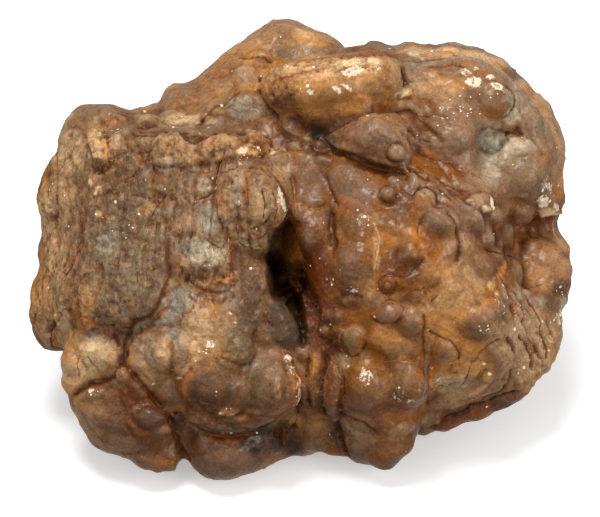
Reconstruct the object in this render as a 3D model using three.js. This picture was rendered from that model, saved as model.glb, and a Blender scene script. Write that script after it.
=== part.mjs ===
// A rough chalcedony nodule, about 100 mm wide: one grown piece of botryoidal quartz.
// Its broad face is a crust of rounded lobes around a deep pit, with a blocky fibrous
// mass on the left. It looks up and out from the surface that the nodule lies on.
//
// The forms are laid out on that broad face, in millimetres: [across, up the face, out of it].
// The face is then leaned back, and the nodule is set down on the flat break under it.

import * as THREE from "three";
import { mergeVertices } from "three/addons/utils/BufferGeometryUtils.js";

const FACE_LOOKS_UP = 35; // degrees between the broad face's outward direction and level
const BREAK_DEPTH = 33.2; // from the middle of the face down to the flat break it rests on
const UNEVEN = 0.42; // height of the low swells over the whole skin
const FIBRE = 0.38; // depth of the upright flutes on the block
const KNOLLS = 52; // rounded knolls scattered over the far side
const KNOLL_SIZE = 4.2; // radius of the smallest of them
const DOME_RISE = 0.42; // height of a dome on the face, as a share of its radius

const MESH_DETAIL = 19; // 20 * (detail + 1)^2 triangles
const MESH_CENTRE = new THREE.Vector3(-1, -1, -4); // the skin is shrunk towards this point
const FRONT_BIAS = 0.5; // how much closer together the corners of the face side lie
const RELAX_STEPS = 40;
const RELAX_SHARE = 0.5;
const START_RADIUS = 80;

const SOFT = 2.4; // width of the fillet where lobes meet
const CRISP = 1.2;

// ---- forms ------------------------------------------------------------------------------

function form(kind, at, size, { turn = 0, swing = 0, tip = 0, fillet = SOFT, corner = 4 } = {}) {
  const rad = THREE.MathUtils.degToRad;
  const turned = new THREE.Matrix4().makeRotationFromEuler(
    new THREE.Euler(rad(tip), rad(swing), rad(turn), "ZYX"),
  );
  const into = turned.setPosition(...at).invert().elements;
  const reach = Math.max(...size) + (kind === "block" ? 0.42 * Math.max(...size) : 0);
  return { kind, at, reach, into, size, fillet, corner };
}
const lobe = (at, size, options) => form("lobe", at, size, options);
const block = (at, size, options) => form("block", at, size, options);
const bump = (at, size, options) => form("lobe", at, size, { fillet: CRISP, ...options });

const length = (x, y, z) => Math.sqrt(x * x + y * y + z * z);

// Signed distance from a point to a form, negative inside.
function distance(f, x, y, z) {
  const m = f.into;
  const px = m[0] * x + m[4] * y + m[8] * z + m[12];
  const py = m[1] * x + m[5] * y + m[9] * z + m[13];
  const pz = m[2] * x + m[6] * y + m[10] * z + m[14];
  const [a, b, c] = f.size;
  if (f.kind === "block") {
    const r = f.corner;
    const qx = Math.abs(px) - a + r;
    const qy = Math.abs(py) - b + r;
    const qz = Math.abs(pz) - c + r;
    const out = length(Math.max(qx, 0), Math.max(qy, 0), Math.max(qz, 0));
    return out + Math.min(Math.max(qx, qy, qz), 0) - r;
  }
  const k0 = length(px / a, py / b, pz / c);
  const k1 = length(px / (a * a), py / (b * b), pz / (c * c));
  return k1 < 1e-9 ? -Math.min(a, b, c) : (k0 * (k0 - 1)) / k1;
}

// A distance that the form can't be nearer than, to leave it out early.
function clearOf(f, x, y, z) {
  return length(x - f.at[0], y - f.at[1], z - f.at[2]) - f.reach;
}

const lobes = [
  // the mass behind everything
  lobe([0, 0, -6], [41, 32, 25]),
  lobe([-23, 3, -13], [21, 24, 18]),
  lobe([19, 4, -13], [25, 27, 18]),
  lobe([-4, -13, -13], [25, 17, 16]),

  // the fibrous block on the left: its front, its scalloped top ledge, its turned-away side
  block([-24.4, 1.6, 3], [17.4, 19.4, 14.5], { turn: -6, swing: -10, tip: -3, corner: 8 }),
  bump([-33.4, 15, 10], [6.8, 7.6, 6.5], { turn: -12 }),
  bump([-24, 18.4, 11.5], [5.4, 4.2, 5], { turn: 4 }),
  bump([-17, 18.8, 11.5], [5, 3.8, 5.4], { turn: -6 }),
  bump([-9.6, 17.6, 11], [5.6, 4.2, 5.6], { turn: -8 }),
  lobe([-38, 19, -2], [5.6, 7.5, 10]),
  lobe([-42.4, 10, -3], [6, 9, 11]),
  lobe([-43, -1, -4], [5.3, 10, 10]),
  lobe([-43.6, -10.5, -5], [6.1, 8.5, 10]),
  lobe([-37, 24, -2], [6.2, 4.3, 8]),
  lobe([-28, 23.4, -3], [9, 4.6, 9]),
  lobe([-17, 22, -2], [9, 5, 9]),
  // the rough knob, the smooth column and the dark lobe along its right edge
  bump([-7.4, 8, 14], [5.4, 8.2, 8.6], { turn: -5 }),
  bump([-5.2, 4.6, 17.5], [3.6, 3.6, 4.2]),
  lobe([-10.6, -7.5, 10], [5, 11.5, 9.4]),
  bump([-3.2, -12.2, 6.5], [4, 5.2, 8]),
  lobe([-18.6, -1.6, 13], [4.6, 7, 5.5], { turn: -6 }),
  lobe([-22.6, -9.6, 13], [4.4, 6, 5], { turn: -24 }),

  // below the block
  bump([-38, -16.9, 6], [5, 4.8, 8]),
  bump([-38.7, -22.5, 2], [4.4, 4.2, 8]),
  bump([-34, -28, 1], [7.8, 7.6, 10.5]),
  bump([-27.3, -32, 2], [7.2, 7.2, 10]),
  bump([-27.6, -30, 8], [4.4, 4.4, 4.6]),
  bump([-30.5, -22.4, 7], [4.6, 6, 7.4], { turn: 24 }),
  bump([-22.5, -17.4, 9], [6.6, 5.6, 11], { turn: -6 }),
  bump([-15.6, -24.2, 12], [5, 4.6, 6.6]),
  lobe([-13.5, -18.6, 10], [8, 7.4, 10.6]),
  bump([-5.2, -24, 10], [5, 5.6, 8.4]),
  bump([-9.6, -29.4, 6.4], [8, 3.2, 9], { turn: 3 }),
  bump([-18.6, -29.6, 6], [4.6, 3.4, 9], { turn: -34 }),
  bump([-13.4, -35.2, 2], [8.6, 6.6, 9.5]),
  bump([-6, -34, 0.5], [5, 5, 8.5]),
  bump([4.2, -32, -2], [6, 4.9, 9]),
  lobe([1.8, -21.6, 5], [4, 8, 9]),
  bump([6.2, -23.6, 10.5], [1.7, 5, 5]),

  // the botryoidal body on the right
  lobe([18.5, -2, 8], [18.5, 21, 16.4]),
  lobe([30, -11, 6], [12, 13.5, 13.6]),
  lobe([25.5, 8.5, 7], [12.5, 9, 12.5]),
  bump([8.6, 9.6, 10], [7, 9.4, 10.5], { turn: 8 }),
  bump([27.6, 13.2, 13], [5, 3.4, 5], { turn: -20 }),
  bump([12, -24.4, 10.4], [4.8, 5.6, 8]),
  bump([20, -22, 10.4], [5, 7, 8.6]),
  bump([15.6, -30.2, 3], [7.6, 6, 9]),
  bump([15.4, -35.2, 1], [5.4, 4.1, 8]),
  bump([44.9, -1.5, -3], [5.3, 6.6, 9]),
  bump([42.6, -8.8, -1], [6, 5.6, 10]),
  lobe([41.6, -15, -4], [6.6, 6.8, 11]),
  lobe([37.4, -20.8, -4], [7.8, 6.4, 10.6], { turn: 35 }),
  lobe([31.2, -25.6, -5], [8.8, 5.6, 9.5], { turn: 18 }),
  bump([25.4, -29, -7], [6.2, 4.3, 8]),

  // the upper right, and its rim
  lobe([28, 25, 1], [11.5, 11, 12]),
  bump([34.6, 28, 6.6], [5, 4.7, 5.4]),
  bump([26, 30, 6.5], [5, 4, 5.4]),
  bump([27.2, 21.4, 11], [5.6, 4.4, 5.2], { turn: -18 }),
  lobe([40.4, 14.4, 2], [6.6, 7.8, 10]),
  bump([41, 21.4, 4], [4, 4.6, 6]),
  bump([42.6, 14.4, 4], [4, 4.6, 6]),
  lobe([25.8, 34.6, -6], [12, 5.2, 9]),
  lobe([14, 36, -5], [8.5, 3.8, 8]),
  lobe([35.8, 28.4, -6], [8.6, 8, 10], { turn: -40 }),
  lobe([43.4, 19, -4], [5.9, 8.8, 10]),
  bump([44.6, 10.6, -3], [5, 6.4, 9]),

  // the long lobe on top, the wedge under it, and the knolls beside them
  bump([4.6, 30.4, 10], [11.6, 5.8, 9], { turn: 4 }),
  bump([13.4, 31.6, 9.6], [6.4, 5, 8]),
  bump([2, 27.6, 10], [7, 4.4, 8], { turn: -12 }),
  bump([14.2, 20.4, 12], [6.6, 4.4, 7.5], { turn: -12 }),
  bump([8.8, 22, 12], [5.2, 2.6, 5.4], { turn: -14 }),
  bump([17.6, 19.4, 13], [2.8, 3, 4.6]),
  bump([-9.8, 27.4, 3], [4.4, 3.4, 6.6]),
  bump([-14.8, 24.6, 3], [4.6, 3.8, 7]),
  bump([-5.2, 24.6, 5], [4.2, 3.4, 6.4], { turn: -20 }),
  bump([-0.8, 22.4, 8], [3.2, 2.6, 5], { turn: -20 }),

  // the wall that falls into the pit
  bump([2, 14.2, 8.6], [5, 5, 8.4]),
  bump([3.4, 6.6, 9.4], [4, 6, 8.4], { turn: 8 }),
  bump([5.6, -1.4, 8], [3.6, 9, 9.4]),
  lobe([3.6, -11.5, 2.6], [4.2, 7.5, 8.5]),

  // the peak and its shoulder, behind the face
  lobe([-3.4, 40.4, -16], [4.8, 5.1, 8]),
  lobe([-7, 35.4, -15], [8, 5, 10], { turn: 40 }),
  lobe([3.6, 37.6, -15], [7.6, 4, 9], { turn: -28 }),
  bump([-9.4, 33, -9], [4, 3.6, 6], { turn: 30 }),
  lobe([-14.2, 31.4, -13], [8.4, 4.1, 9], { turn: 38 }),
  bump([-16, 29.4, -7], [3.6, 3, 5]),
  lobe([-20.8, 27.6, -10], [8.2, 4.2, 8.5], { turn: 28 }),
  bump([-22.4, 28.4, -8], [3.4, 3, 5]),

  // the mass of the far side
  lobe([-30, -3, -22], [13, 12, 9]),
  lobe([-14, 14, -25], [14, 12, 8]),
  lobe([6, -2, -27], [15, 13, 8]),
  lobe([28, 6, -24], [14, 13, 9]),
  lobe([12, 22, -23], [13, 9, 9]),
  lobe([36, -9, -16], [10, 11, 10]),
  lobe([17, -17, -20], [12, 9, 9]),
  lobe([-20, -17, -19], [13, 9, 10]),
];

const hollows = [
  lobe([-2, -2.4, 16], [3.6, 9, 15], { turn: 7 }), // the deep pit
  bump([0.6, -10.4, 14], [2.8, 5.6, 12], { turn: 10 }),
  bump([1.8, 23.2, 16], [5, 1.7, 8], { turn: -8 }), // under the long lobe
  bump([10, 26.1, 18], [7, 1.2, 6], { turn: 8 }),
  bump([20.2, 26.4, 14.5], [1.6, 7.4, 6.5], { turn: 8 }), // beside it
  bump([12.6, 15.6, 17.5], [7, 1.2, 4], { turn: -20 }), // under the wedge
  bump([-20.9, -38.4, 3], [0.8, 2.2, 14]), // between the bottom lobes
  bump([-36.6, 16, 15.2], [3.2, 1.8, 4]), // the notch by the pale crystals
  bump([36.6, 21.2, 12.6], [3.2, 2.4, 4]), // the small vug, upper right
  bump([-29.6, -18.6, 16], [1.1, 5.4, 5], { turn: 34 }), // the crack under the block
  bump([4.6, -33, 8], [1, 3, 6]),
];

// Domes on the face: [across, up the face, radius].
const domes = [
  // on the botryoidal body
  [10.4, -0.6, 4.1], [19.8, 0.6, 3.3], [16, -5, 2.4], [25.7, 6.2, 3.6], [30, 0.4, 2.4],
  [16.6, -10, 2.5], [21.2, -12, 2.6], [9.8, -16, 2.5], [14.8, -15.4, 2.4], [26.4, -17, 3.4],
  [32.6, -11.2, 4.4], [34.8, -21.8, 2.4], [12.6, -21.6, 3], [20.4, -25.4, 3.2], [15, -29, 3.4],
  [38.8, -6.2, 3], [39.6, -1.8, 2.9], [34.6, -1.4, 2.6], [33, 6.2, 2.8], [37.6, 5.2, 2.6],
  [40.6, 8, 2.2], [23.4, 11.2, 2.2], [16.2, 11.4, 2.2], [9.4, 14, 2.4], [42.6, -14, 2.8],
  // on the upper right
  [36, 29, 4.3], [29, 31, 3], [22.4, 33, 2.8], [30, 20.4, 3.2], [41.6, 24.6, 3],
  [43.6, 17.4, 2.8], [39.8, 12.8, 3.2], [24.6, 21, 2.6], [26.4, 26, 2.5],
  // below the block, and on the lobes under it
  [-27.8, -30.8, 3.6], [-34.4, -31, 2.8], [-38.4, -25.6, 2.6], [-15.8, -24.4, 4.2],
  [-22.4, -24.6, 2.8], [-5.4, -24.8, 4], [-14.6, -35, 3], [-8.8, -35.6, 2.6], [-21.8, -34.6, 2.6],
  // on the long lobe, the wedge and the slope behind them
  [0.4, 30.6, 3.2], [7, 31, 3.6], [13.4, 31.8, 3.2], [17.4, 19.6, 2.2], [12, 21, 2.6],
  [-10, 33.4, 3], [-16.4, 29.6, 2.6], [-21.6, 28.6, 2.4], [-3, 39.4, 3], [4.6, 37.6, 2.6],
];

function smoothUnion(a, b, k) {
  const h = Math.max(k - Math.abs(a - b), 0) / k;
  return Math.min(a, b) - (h * h * k) / 4;
}

function union(forms, x, y, z) {
  let d = 1e9;
  for (const f of forms) {
    if (clearOf(f, x, y, z) < d + f.fillet) d = smoothUnion(d, distance(f, x, y, z), f.fillet);
  }
  return d;
}

// Low swells of the grown crust, in no order.
function swell(x, y, z) {
  const s = 0.27 * x + 1.7 * Math.sin(0.13 * y + 0.6) + 0.9 * Math.sin(0.21 * z);
  const t = 0.33 * y + 1.4 * Math.sin(0.16 * z + 1.1) + 0.8 * Math.sin(0.19 * x);
  const r = 0.29 * z + 1.6 * Math.sin(0.15 * x + 2.3) + 0.9 * Math.sin(0.23 * y);
  return Math.sin(s) * Math.cos(t) + Math.sin(t) * Math.cos(r) + 0.5 * Math.sin(2.3 * s + r);
}

// Upright flutes: full on the face of the block, fading out past its edges.
function flute(x, y, z) {
  const inside = Math.max(Math.abs(x + 27) - 19, Math.abs(y - 2) - 17, 0);
  const share = Math.max(1 - inside / 5, 0);
  const across = x + 0.14 * y + 0.9 * Math.sin(0.23 * y + 0.3 * x);
  return share * (Math.sin(1.35 * across) + 0.6 * Math.sin(2.1 * across + 0.2 * y + 0.1 * z));
}

const up = THREE.MathUtils.degToRad(FACE_LOOKS_UP);
const SIN_UP = Math.sin(up);
const COS_UP = Math.cos(up);

// Signed distance to the whole nodule, in the frame of the broad face.
function nodule(x, y, z) {
  let d = union(lobes, x, y, z);
  for (const f of hollows) {
    if (clearOf(f, x, y, z) < f.fillet - d) d = -smoothUnion(-d, distance(f, x, y, z), f.fillet);
  }
  if (d < 6) d -= UNEVEN * swell(x, y, z) + FIBRE * flute(x, y, z);
  return Math.max(d, -BREAK_DEPTH - (y * COS_UP + z * SIN_UP));
}

// Where a ray that comes in against the given direction first meets the field's surface.
function firstMeeting(field, from, direction) {
  const p = from.clone().addScaledVector(direction, START_RADIUS);
  for (let step = 0; step < 70; step++) p.addScaledVector(direction, -0.7 * field(p.x, p.y, p.z));
  return p;
}

function outwards(field, p, target) {
  const e = 0.05;
  const at = field(p.x, p.y, p.z);
  target.set(
    field(p.x + e, p.y, p.z) - at,
    field(p.x, p.y + e, p.z) - at,
    field(p.x, p.y, p.z + e) - at,
  );
  return target.normalize();
}

// A cap of a ball of the given radius at the skin, standing out by a share of that radius.
function cap(field, meeting, radius, rise, stretch) {
  const ball = (radius * (1 + rise * rise)) / (2 * rise);
  const out = outwards(field, meeting, new THREE.Vector3());
  const at = meeting.clone().addScaledVector(out, rise * radius - ball);
  return bump(at.toArray(), [ball, ball * stretch, ball], { fillet: 0.7 });
}

// Domes on the face, and knolls over the far side that are spaced by the golden angle.
function addCaps() {
  const mass = [...lobes];
  const field = (x, y, z) => union(mass, x, y, z);
  const face = new THREE.Vector3(0, 0, 1);
  for (const [across, upFace, radius] of domes) {
    const meeting = firstMeeting(field, new THREE.Vector3(across, upFace, 0), face);
    lobes.push(cap(field, meeting, radius, DOME_RISE, 1));
  }
  for (let i = 0; i < KNOLLS; i++) {
    const out = -0.3 - (0.68 * (i + 0.5)) / KNOLLS;
    const around = i * Math.PI * (3 - Math.sqrt(5));
    const ring = Math.sqrt(1 - out * out);
    const ray = new THREE.Vector3(ring * Math.cos(around), ring * Math.sin(around), out);
    const radius = KNOLL_SIZE + 1.3 * (1 + Math.sin(7.1 * i));
    const meeting = firstMeeting(field, MESH_CENTRE, ray);
    lobes.push(cap(field, meeting, radius, 0.6, 0.85 + 0.15 * Math.sin(3.7 * i)));
  }
}

// ---- skin -------------------------------------------------------------------------------

// A ball of even triangles, shrunk along rays onto the forms, then evened out over them.
function shrunkSkin() {
  const ball = new THREE.IcosahedronGeometry(1, MESH_DETAIL);
  ball.deleteAttribute("normal");
  ball.deleteAttribute("uv");
  const skin = mergeVertices(ball, 1e-5);
  const corners = skin.attributes.position;
  const points = [];
  for (let i = 0; i < corners.count; i++) {
    const ray = new THREE.Vector3().fromBufferAttribute(corners, i);
    ray.z += FRONT_BIAS;
    ray.normalize();
    points.push(firstMeeting(nodule, MESH_CENTRE, ray));
  }

  const neighbours = points.map(() => new Set());
  const index = skin.index.array;
  for (let i = 0; i < index.length; i += 3) {
    for (let j = 0; j < 3; j++) {
      neighbours[index[i + j]].add(index[i + ((j + 1) % 3)]);
      neighbours[index[i + ((j + 1) % 3)]].add(index[i + j]);
    }
  }
  const normal = new THREE.Vector3();
  for (let step = 0; step < RELAX_STEPS; step++) {
    const moved = points.map((p, i) => {
      const middle = new THREE.Vector3();
      for (const n of neighbours[i]) middle.add(points[n]);
      const pull = middle.divideScalar(neighbours[i].size).sub(p);
      outwards(nodule, p, normal);
      pull.addScaledVector(normal, -pull.dot(normal)).multiplyScalar(RELAX_SHARE);
      const q = p.clone().add(pull);
      return q.addScaledVector(normal, -nodule(q.x, q.y, q.z));
    });
    moved.forEach((p, i) => points[i].copy(p));
  }
  points.forEach((p, i) => corners.setXYZ(i, p.x, p.y, p.z));
  return skin;
}

// Leans the face back and puts the flat break on the ground, under the middle of the nodule.
function setDown(skin) {
  skin.rotateX(Math.PI / 2 - up);
  skin.translate(0, 0, BREAK_DEPTH);
  const corners = skin.attributes.position;
  for (let i = 0; i < corners.count; i++) {
    if (corners.getZ(i) < 0.02) corners.setZ(i, 0);
  }
  skin.computeBoundingBox();
  const middle = skin.boundingBox.getCenter(new THREE.Vector3());
  skin.translate(-middle.x, -middle.y, 0);
  return skin;
}

addCaps();
const stone = new THREE.MeshStandardMaterial({ color: 0x8a6244, roughness: 0.5, metalness: 0 });
const body = new THREE.Mesh(setDown(shrunkSkin()), stone);
body.name = "chalcedony_nodule";

const group = new THREE.Group();
group.add(body);
export default group;
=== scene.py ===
# Rough chalcedony nodule on a pale floor. Scene units are metres; the relief is worked out in millimetres.
# A place on the broad face is given as x, y in the front view, which is 600 wide and 517 high.
import math

import bmesh
import bpy
import numpy as np
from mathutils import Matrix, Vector
from mathutils.bvhtree import BVHTree


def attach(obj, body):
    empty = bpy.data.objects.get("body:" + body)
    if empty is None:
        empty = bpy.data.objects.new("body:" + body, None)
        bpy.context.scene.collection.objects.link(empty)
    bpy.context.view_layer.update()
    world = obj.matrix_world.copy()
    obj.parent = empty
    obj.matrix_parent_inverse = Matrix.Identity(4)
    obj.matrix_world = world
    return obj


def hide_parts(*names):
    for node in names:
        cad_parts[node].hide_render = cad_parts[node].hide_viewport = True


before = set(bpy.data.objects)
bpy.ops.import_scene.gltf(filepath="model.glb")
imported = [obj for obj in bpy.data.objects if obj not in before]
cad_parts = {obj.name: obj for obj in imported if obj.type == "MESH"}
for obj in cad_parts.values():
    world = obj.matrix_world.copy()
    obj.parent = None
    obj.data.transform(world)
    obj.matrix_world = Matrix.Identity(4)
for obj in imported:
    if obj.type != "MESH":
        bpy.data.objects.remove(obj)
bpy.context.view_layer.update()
nodeName = "chalcedony_nodule"
mm = 0.001

# front view: how the camera looks, and where the outline of the stone lies in the picture
frontView = {
    "looksDown": 35,
    "lens": 200,
    "sensor": 36,
    "width": 600,
    "height": 517,
    "left": 29,
    "right": 573,
    "top": 17,
    "bottom": 478,
    "firstDistance": 0.6,  # where the fit starts, in metres
    "fitRounds": 60,
}

tilt = math.radians(frontView["looksDown"])
across = np.array([1.0, 0.0, 0.0])
upFace = np.array([0.0, math.sin(tilt), math.cos(tilt)])
outOfFace = np.array([0.0, -math.cos(tilt), math.sin(tilt)])
slope = frontView["sensor"] / frontView["lens"] / frontView["width"]  # one pixel, at unit distance


def nodePoints():
    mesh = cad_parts[nodeName].data
    flat = np.empty(len(mesh.vertices) * 3)
    mesh.vertices.foreach_get("co", flat)
    return flat.reshape(-1, 3)


def toPicture(points, eye):
    away = (eye - points) @ outOfFace
    x = frontView["width"] / 2 + (points - eye) @ across / away / slope
    y = frontView["height"] / 2 - (points - eye) @ upFace / away / slope
    return x, y


def fitCamera(points):
    # moves the camera until the outline fills its place in the picture
    eye = points.mean(0) + outOfFace * frontView["firstDistance"]
    wantedWidth = frontView["right"] - frontView["left"]
    for _ in range(frontView["fitRounds"]):
        x, y = toPicture(points, eye)
        depth = (eye - points.mean(0)) @ outOfFace
        closer = depth * (1 - (x.max() - x.min()) / wantedWidth)
        offX = (x.max() + x.min() - frontView["left"] - frontView["right"]) / 2
        offY = (y.max() + y.min() - frontView["top"] - frontView["bottom"]) / 2
        eye = eye + (across * offX - upFace * offY) * slope * depth - outOfFace * closer
    return eye


def addCamera(eye):
    data = bpy.data.cameras.new("frontCamera")
    data.lens = frontView["lens"]
    data.sensor_width = frontView["sensor"]
    data.clip_start = 0.01
    data.clip_end = 20
    camera = bpy.data.objects.new("frontCamera", data)
    bpy.context.scene.collection.objects.link(camera)
    camera.location = eye
    camera.rotation_mode = "QUATERNION"
    camera.rotation_quaternion = Vector(-outOfFace).to_track_quat("-Z", "Y")
    bpy.context.scene.camera = camera


eye = fitCamera(nodePoints())
addCamera(eye)
print("camera set, distance", round(float(np.linalg.norm(eye)), 3))


# noise over points in millimetres


def cellValue(x, y, z, seed):
    # a whole-number hash of a corner of the grid, from -1 to 1
    h = x * 374761393 + y * 668265263 + z * 1274126177 + seed * 2246822519
    h = (h ^ (h >> 13)) & 0xFFFFFFFF
    h = (h * 1103515245 + 12345) & 0xFFFFFFFF
    h = (h ^ (h >> 16)) & 0xFFFFFFFF
    h = (h * 2654435761) & 0xFFFFFFFF
    return (h ^ (h >> 15)) / 2147483648.0 - 1.0


def softNoise(points, seed):
    low = np.floor(points).astype(np.int64)
    part = points - low
    part = part * part * part * (part * (part * 6 - 15) + 10)
    total = 0
    for dx in (0, 1):
        for dy in (0, 1):
            for dz in (0, 1):
                share = np.abs(1 - dx - part[:, 0]) * np.abs(1 - dy - part[:, 1])
                share = share * np.abs(1 - dz - part[:, 2])
                total = total + share * cellValue(low[:, 0] + dx, low[:, 1] + dy, low[:, 2] + dz, seed)
    return total


def layered(points, size, seed, layers=3):
    # noise of several sizes, the largest about size millimetres across, from -1 to 1
    total, weight, weights = 0, 1.0, 0.0
    for layer in range(layers):
        total = total + weight * softNoise(points / size + layer * 17.3, seed + layer)
        weights += weight
        size *= 0.5
        weight *= 0.6
    return total / weights * 1.5


def ridged(points, size, seed, layers=2):
    # narrow crests between soft hollows, from 0 to 1
    total, weight, weights = 0, 1.0, 0.0
    for layer in range(layers):
        total = total + weight * (1 - np.abs(softNoise(points / size + layer * 11.9, seed + layer)) * 2)
        weights += weight
        size *= 0.5
        weight *= 0.5
    return np.clip(total / weights, 0, 1)


def smooth(low, high, value):
    t = np.clip((value - low) / (high - low), 0, 1)
    return t * t * (3 - 2 * t)


# the skin: a fine net laid over the node's own form, closest on the broad face
skin = {
    "guideLevels": 2,
    "frontEdge": 0.65,  # longest edge left uncut, millimetres
    "farEdge": 1.4,
    "passes": 6,
    "evening": 2,  # times that the net is evened out and laid on the form again
}


def weldedCopy(name):
    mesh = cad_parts[nodeName].data.copy()
    work = bmesh.new()
    work.from_mesh(mesh)
    bmesh.ops.remove_doubles(work, verts=work.verts, dist=1e-6)
    work.to_mesh(mesh)
    work.free()
    mesh.materials.clear()
    piece = bpy.data.objects.new(name, mesh)
    bpy.context.scene.collection.objects.link(piece)
    return piece


def applied(piece):
    graph = bpy.context.evaluated_depsgraph_get()
    mesh = bpy.data.meshes.new_from_object(piece.evaluated_get(graph))
    piece.modifiers.clear()
    piece.data = mesh
    mesh.name = piece.name
    return mesh


def meshArray(items, field, width, kind=float):
    flat = np.empty(len(items) * width, kind)
    items.foreach_get(field, flat)
    return flat.reshape(-1, width)


def smoothForm():
    # the node's form with its corners rounded, to lay the net on and to aim at
    piece = weldedCopy("roundedForm")
    rounder = piece.modifiers.new("rounder", "SUBSURF")
    rounder.levels = skin["guideLevels"]
    mesh = applied(piece)
    spots = meshArray(mesh.vertices, "co", 3) / mm
    corners = meshArray(mesh.polygons, "vertices", 4, int)
    bpy.data.objects.remove(piece)
    return BVHTree.FromPolygons(spots.tolist(), corners.tolist())


def fineNet():
    # cuts every long edge in two, again and again, and stops sooner on the far side
    piece = weldedCopy("chalcedonyStone")
    work = bmesh.new()
    work.from_mesh(piece.data)
    toFront = Vector(outOfFace)
    for _ in range(skin["passes"]):
        work.normal_update()
        tooLong = []
        for edge in work.edges:
            facing = (edge.verts[0].normal + edge.verts[1].normal) @ toFront
            hidden = min(1, max(0, (0.25 - facing) / 1.0))
            allowed = skin["frontEdge"] + hidden * (skin["farEdge"] - skin["frontEdge"])
            if edge.calc_length() > allowed * mm:
                tooLong.append(edge)
        if not tooLong:
            break
        bmesh.ops.subdivide_edges(work, edges=tooLong, cuts=1, use_grid_fill=True)
        bmesh.ops.triangulate(work, faces=work.faces)
    work.to_mesh(piece.data)
    work.free()
    return piece


roundedForm = smoothForm()
stonePiece = fineNet()
skinEdges = meshArray(stonePiece.data.edges, "vertices", 2, int)


def spread(values, rounds):
    # the same values, evened out along the skin
    count = np.bincount(skinEdges.ravel(), minlength=len(values))
    for _ in range(rounds):
        total = np.bincount(skinEdges[:, 0], values[skinEdges[:, 1]], len(values))
        total += np.bincount(skinEdges[:, 1], values[skinEdges[:, 0]], len(values))
        values = (values + total) / (count + 1)
    return values


def layNet():
    spots = meshArray(stonePiece.data.vertices, "co", 3) / mm
    for _ in range(skin["evening"]):
        spots = np.stack([spread(spots[:, i], 2) for i in range(3)], 1)
        spots = np.array([roundedForm.find_nearest(spot)[0] for spot in spots])
    return np.stack([spread(spots[:, i], 1) for i in range(3)], 1)


def writePoints(spots):
    stonePiece.data.vertices.foreach_set("co", (spots * mm).ravel())
    stonePiece.data.update()


points = layNet()
writePoints(points)
normals = meshArray(stonePiece.data.vertices, "normal", 3)
viewX, viewY = toPicture(points * mm, eye)
onFront = smooth(-0.05, 0.3, normals @ outOfFace)
offBreak = smooth(0.2, 2.0, points[:, 2])
print("net laid,", len(points), "points,", len(stonePiece.data.polygons), "triangles")


def onSkin(x, y):
    # the point of the rounded form that the front view shows at x, y, or at the nearest place inwards
    for step in range(12):
        inwards = step * 0.02
        px = x + (frontView["width"] / 2 - x) * inwards
        py = y + (frontView["height"] / 2 - y) * inwards
        side = (px - frontView["width"] / 2) * slope
        rise = (frontView["height"] / 2 - py) * slope
        ray = Vector(across * side + upFace * rise - outOfFace)
        spot = roundedForm.ray_cast(Vector(eye / mm), ray.normalized())[0]
        if spot:
            return np.array(spot)
    return np.zeros(3)


def pixelSize(spot):
    return float((eye / mm - spot) @ outOfFace) * slope  # millimetres that one pixel covers there


pointsByX = np.argsort(points[:, 0])
sortedX = points[pointsByX, 0]


def reachFrom(x, y, wide, high, turn, outTo, depthShare):
    # the points near x, y and how far out each lies on an ellipse there, 1 at its edge
    middle = onSkin(x, y)
    size = pixelSize(middle)
    most = max(wide, high) * size * outTo
    low, up = np.searchsorted(sortedX, (middle[0] - most, middle[0] + most))
    near = pointsByX[low:up]
    gap = points[near] - middle
    down, out = -gap @ upFace, gap @ outOfFace
    c, s = math.cos(math.radians(turn)), math.sin(math.radians(turn))
    along = (gap[:, 0] * c + down * s) / (wide * size)
    beside = (down * c - gap[:, 0] * s) / (high * size)
    deep = out * depthShare / (0.5 * (wide + high) * size)
    reach = np.sqrt(along**2 + beside**2 + deep**2)
    close = reach < outTo
    return near[close], reach[close]


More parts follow.
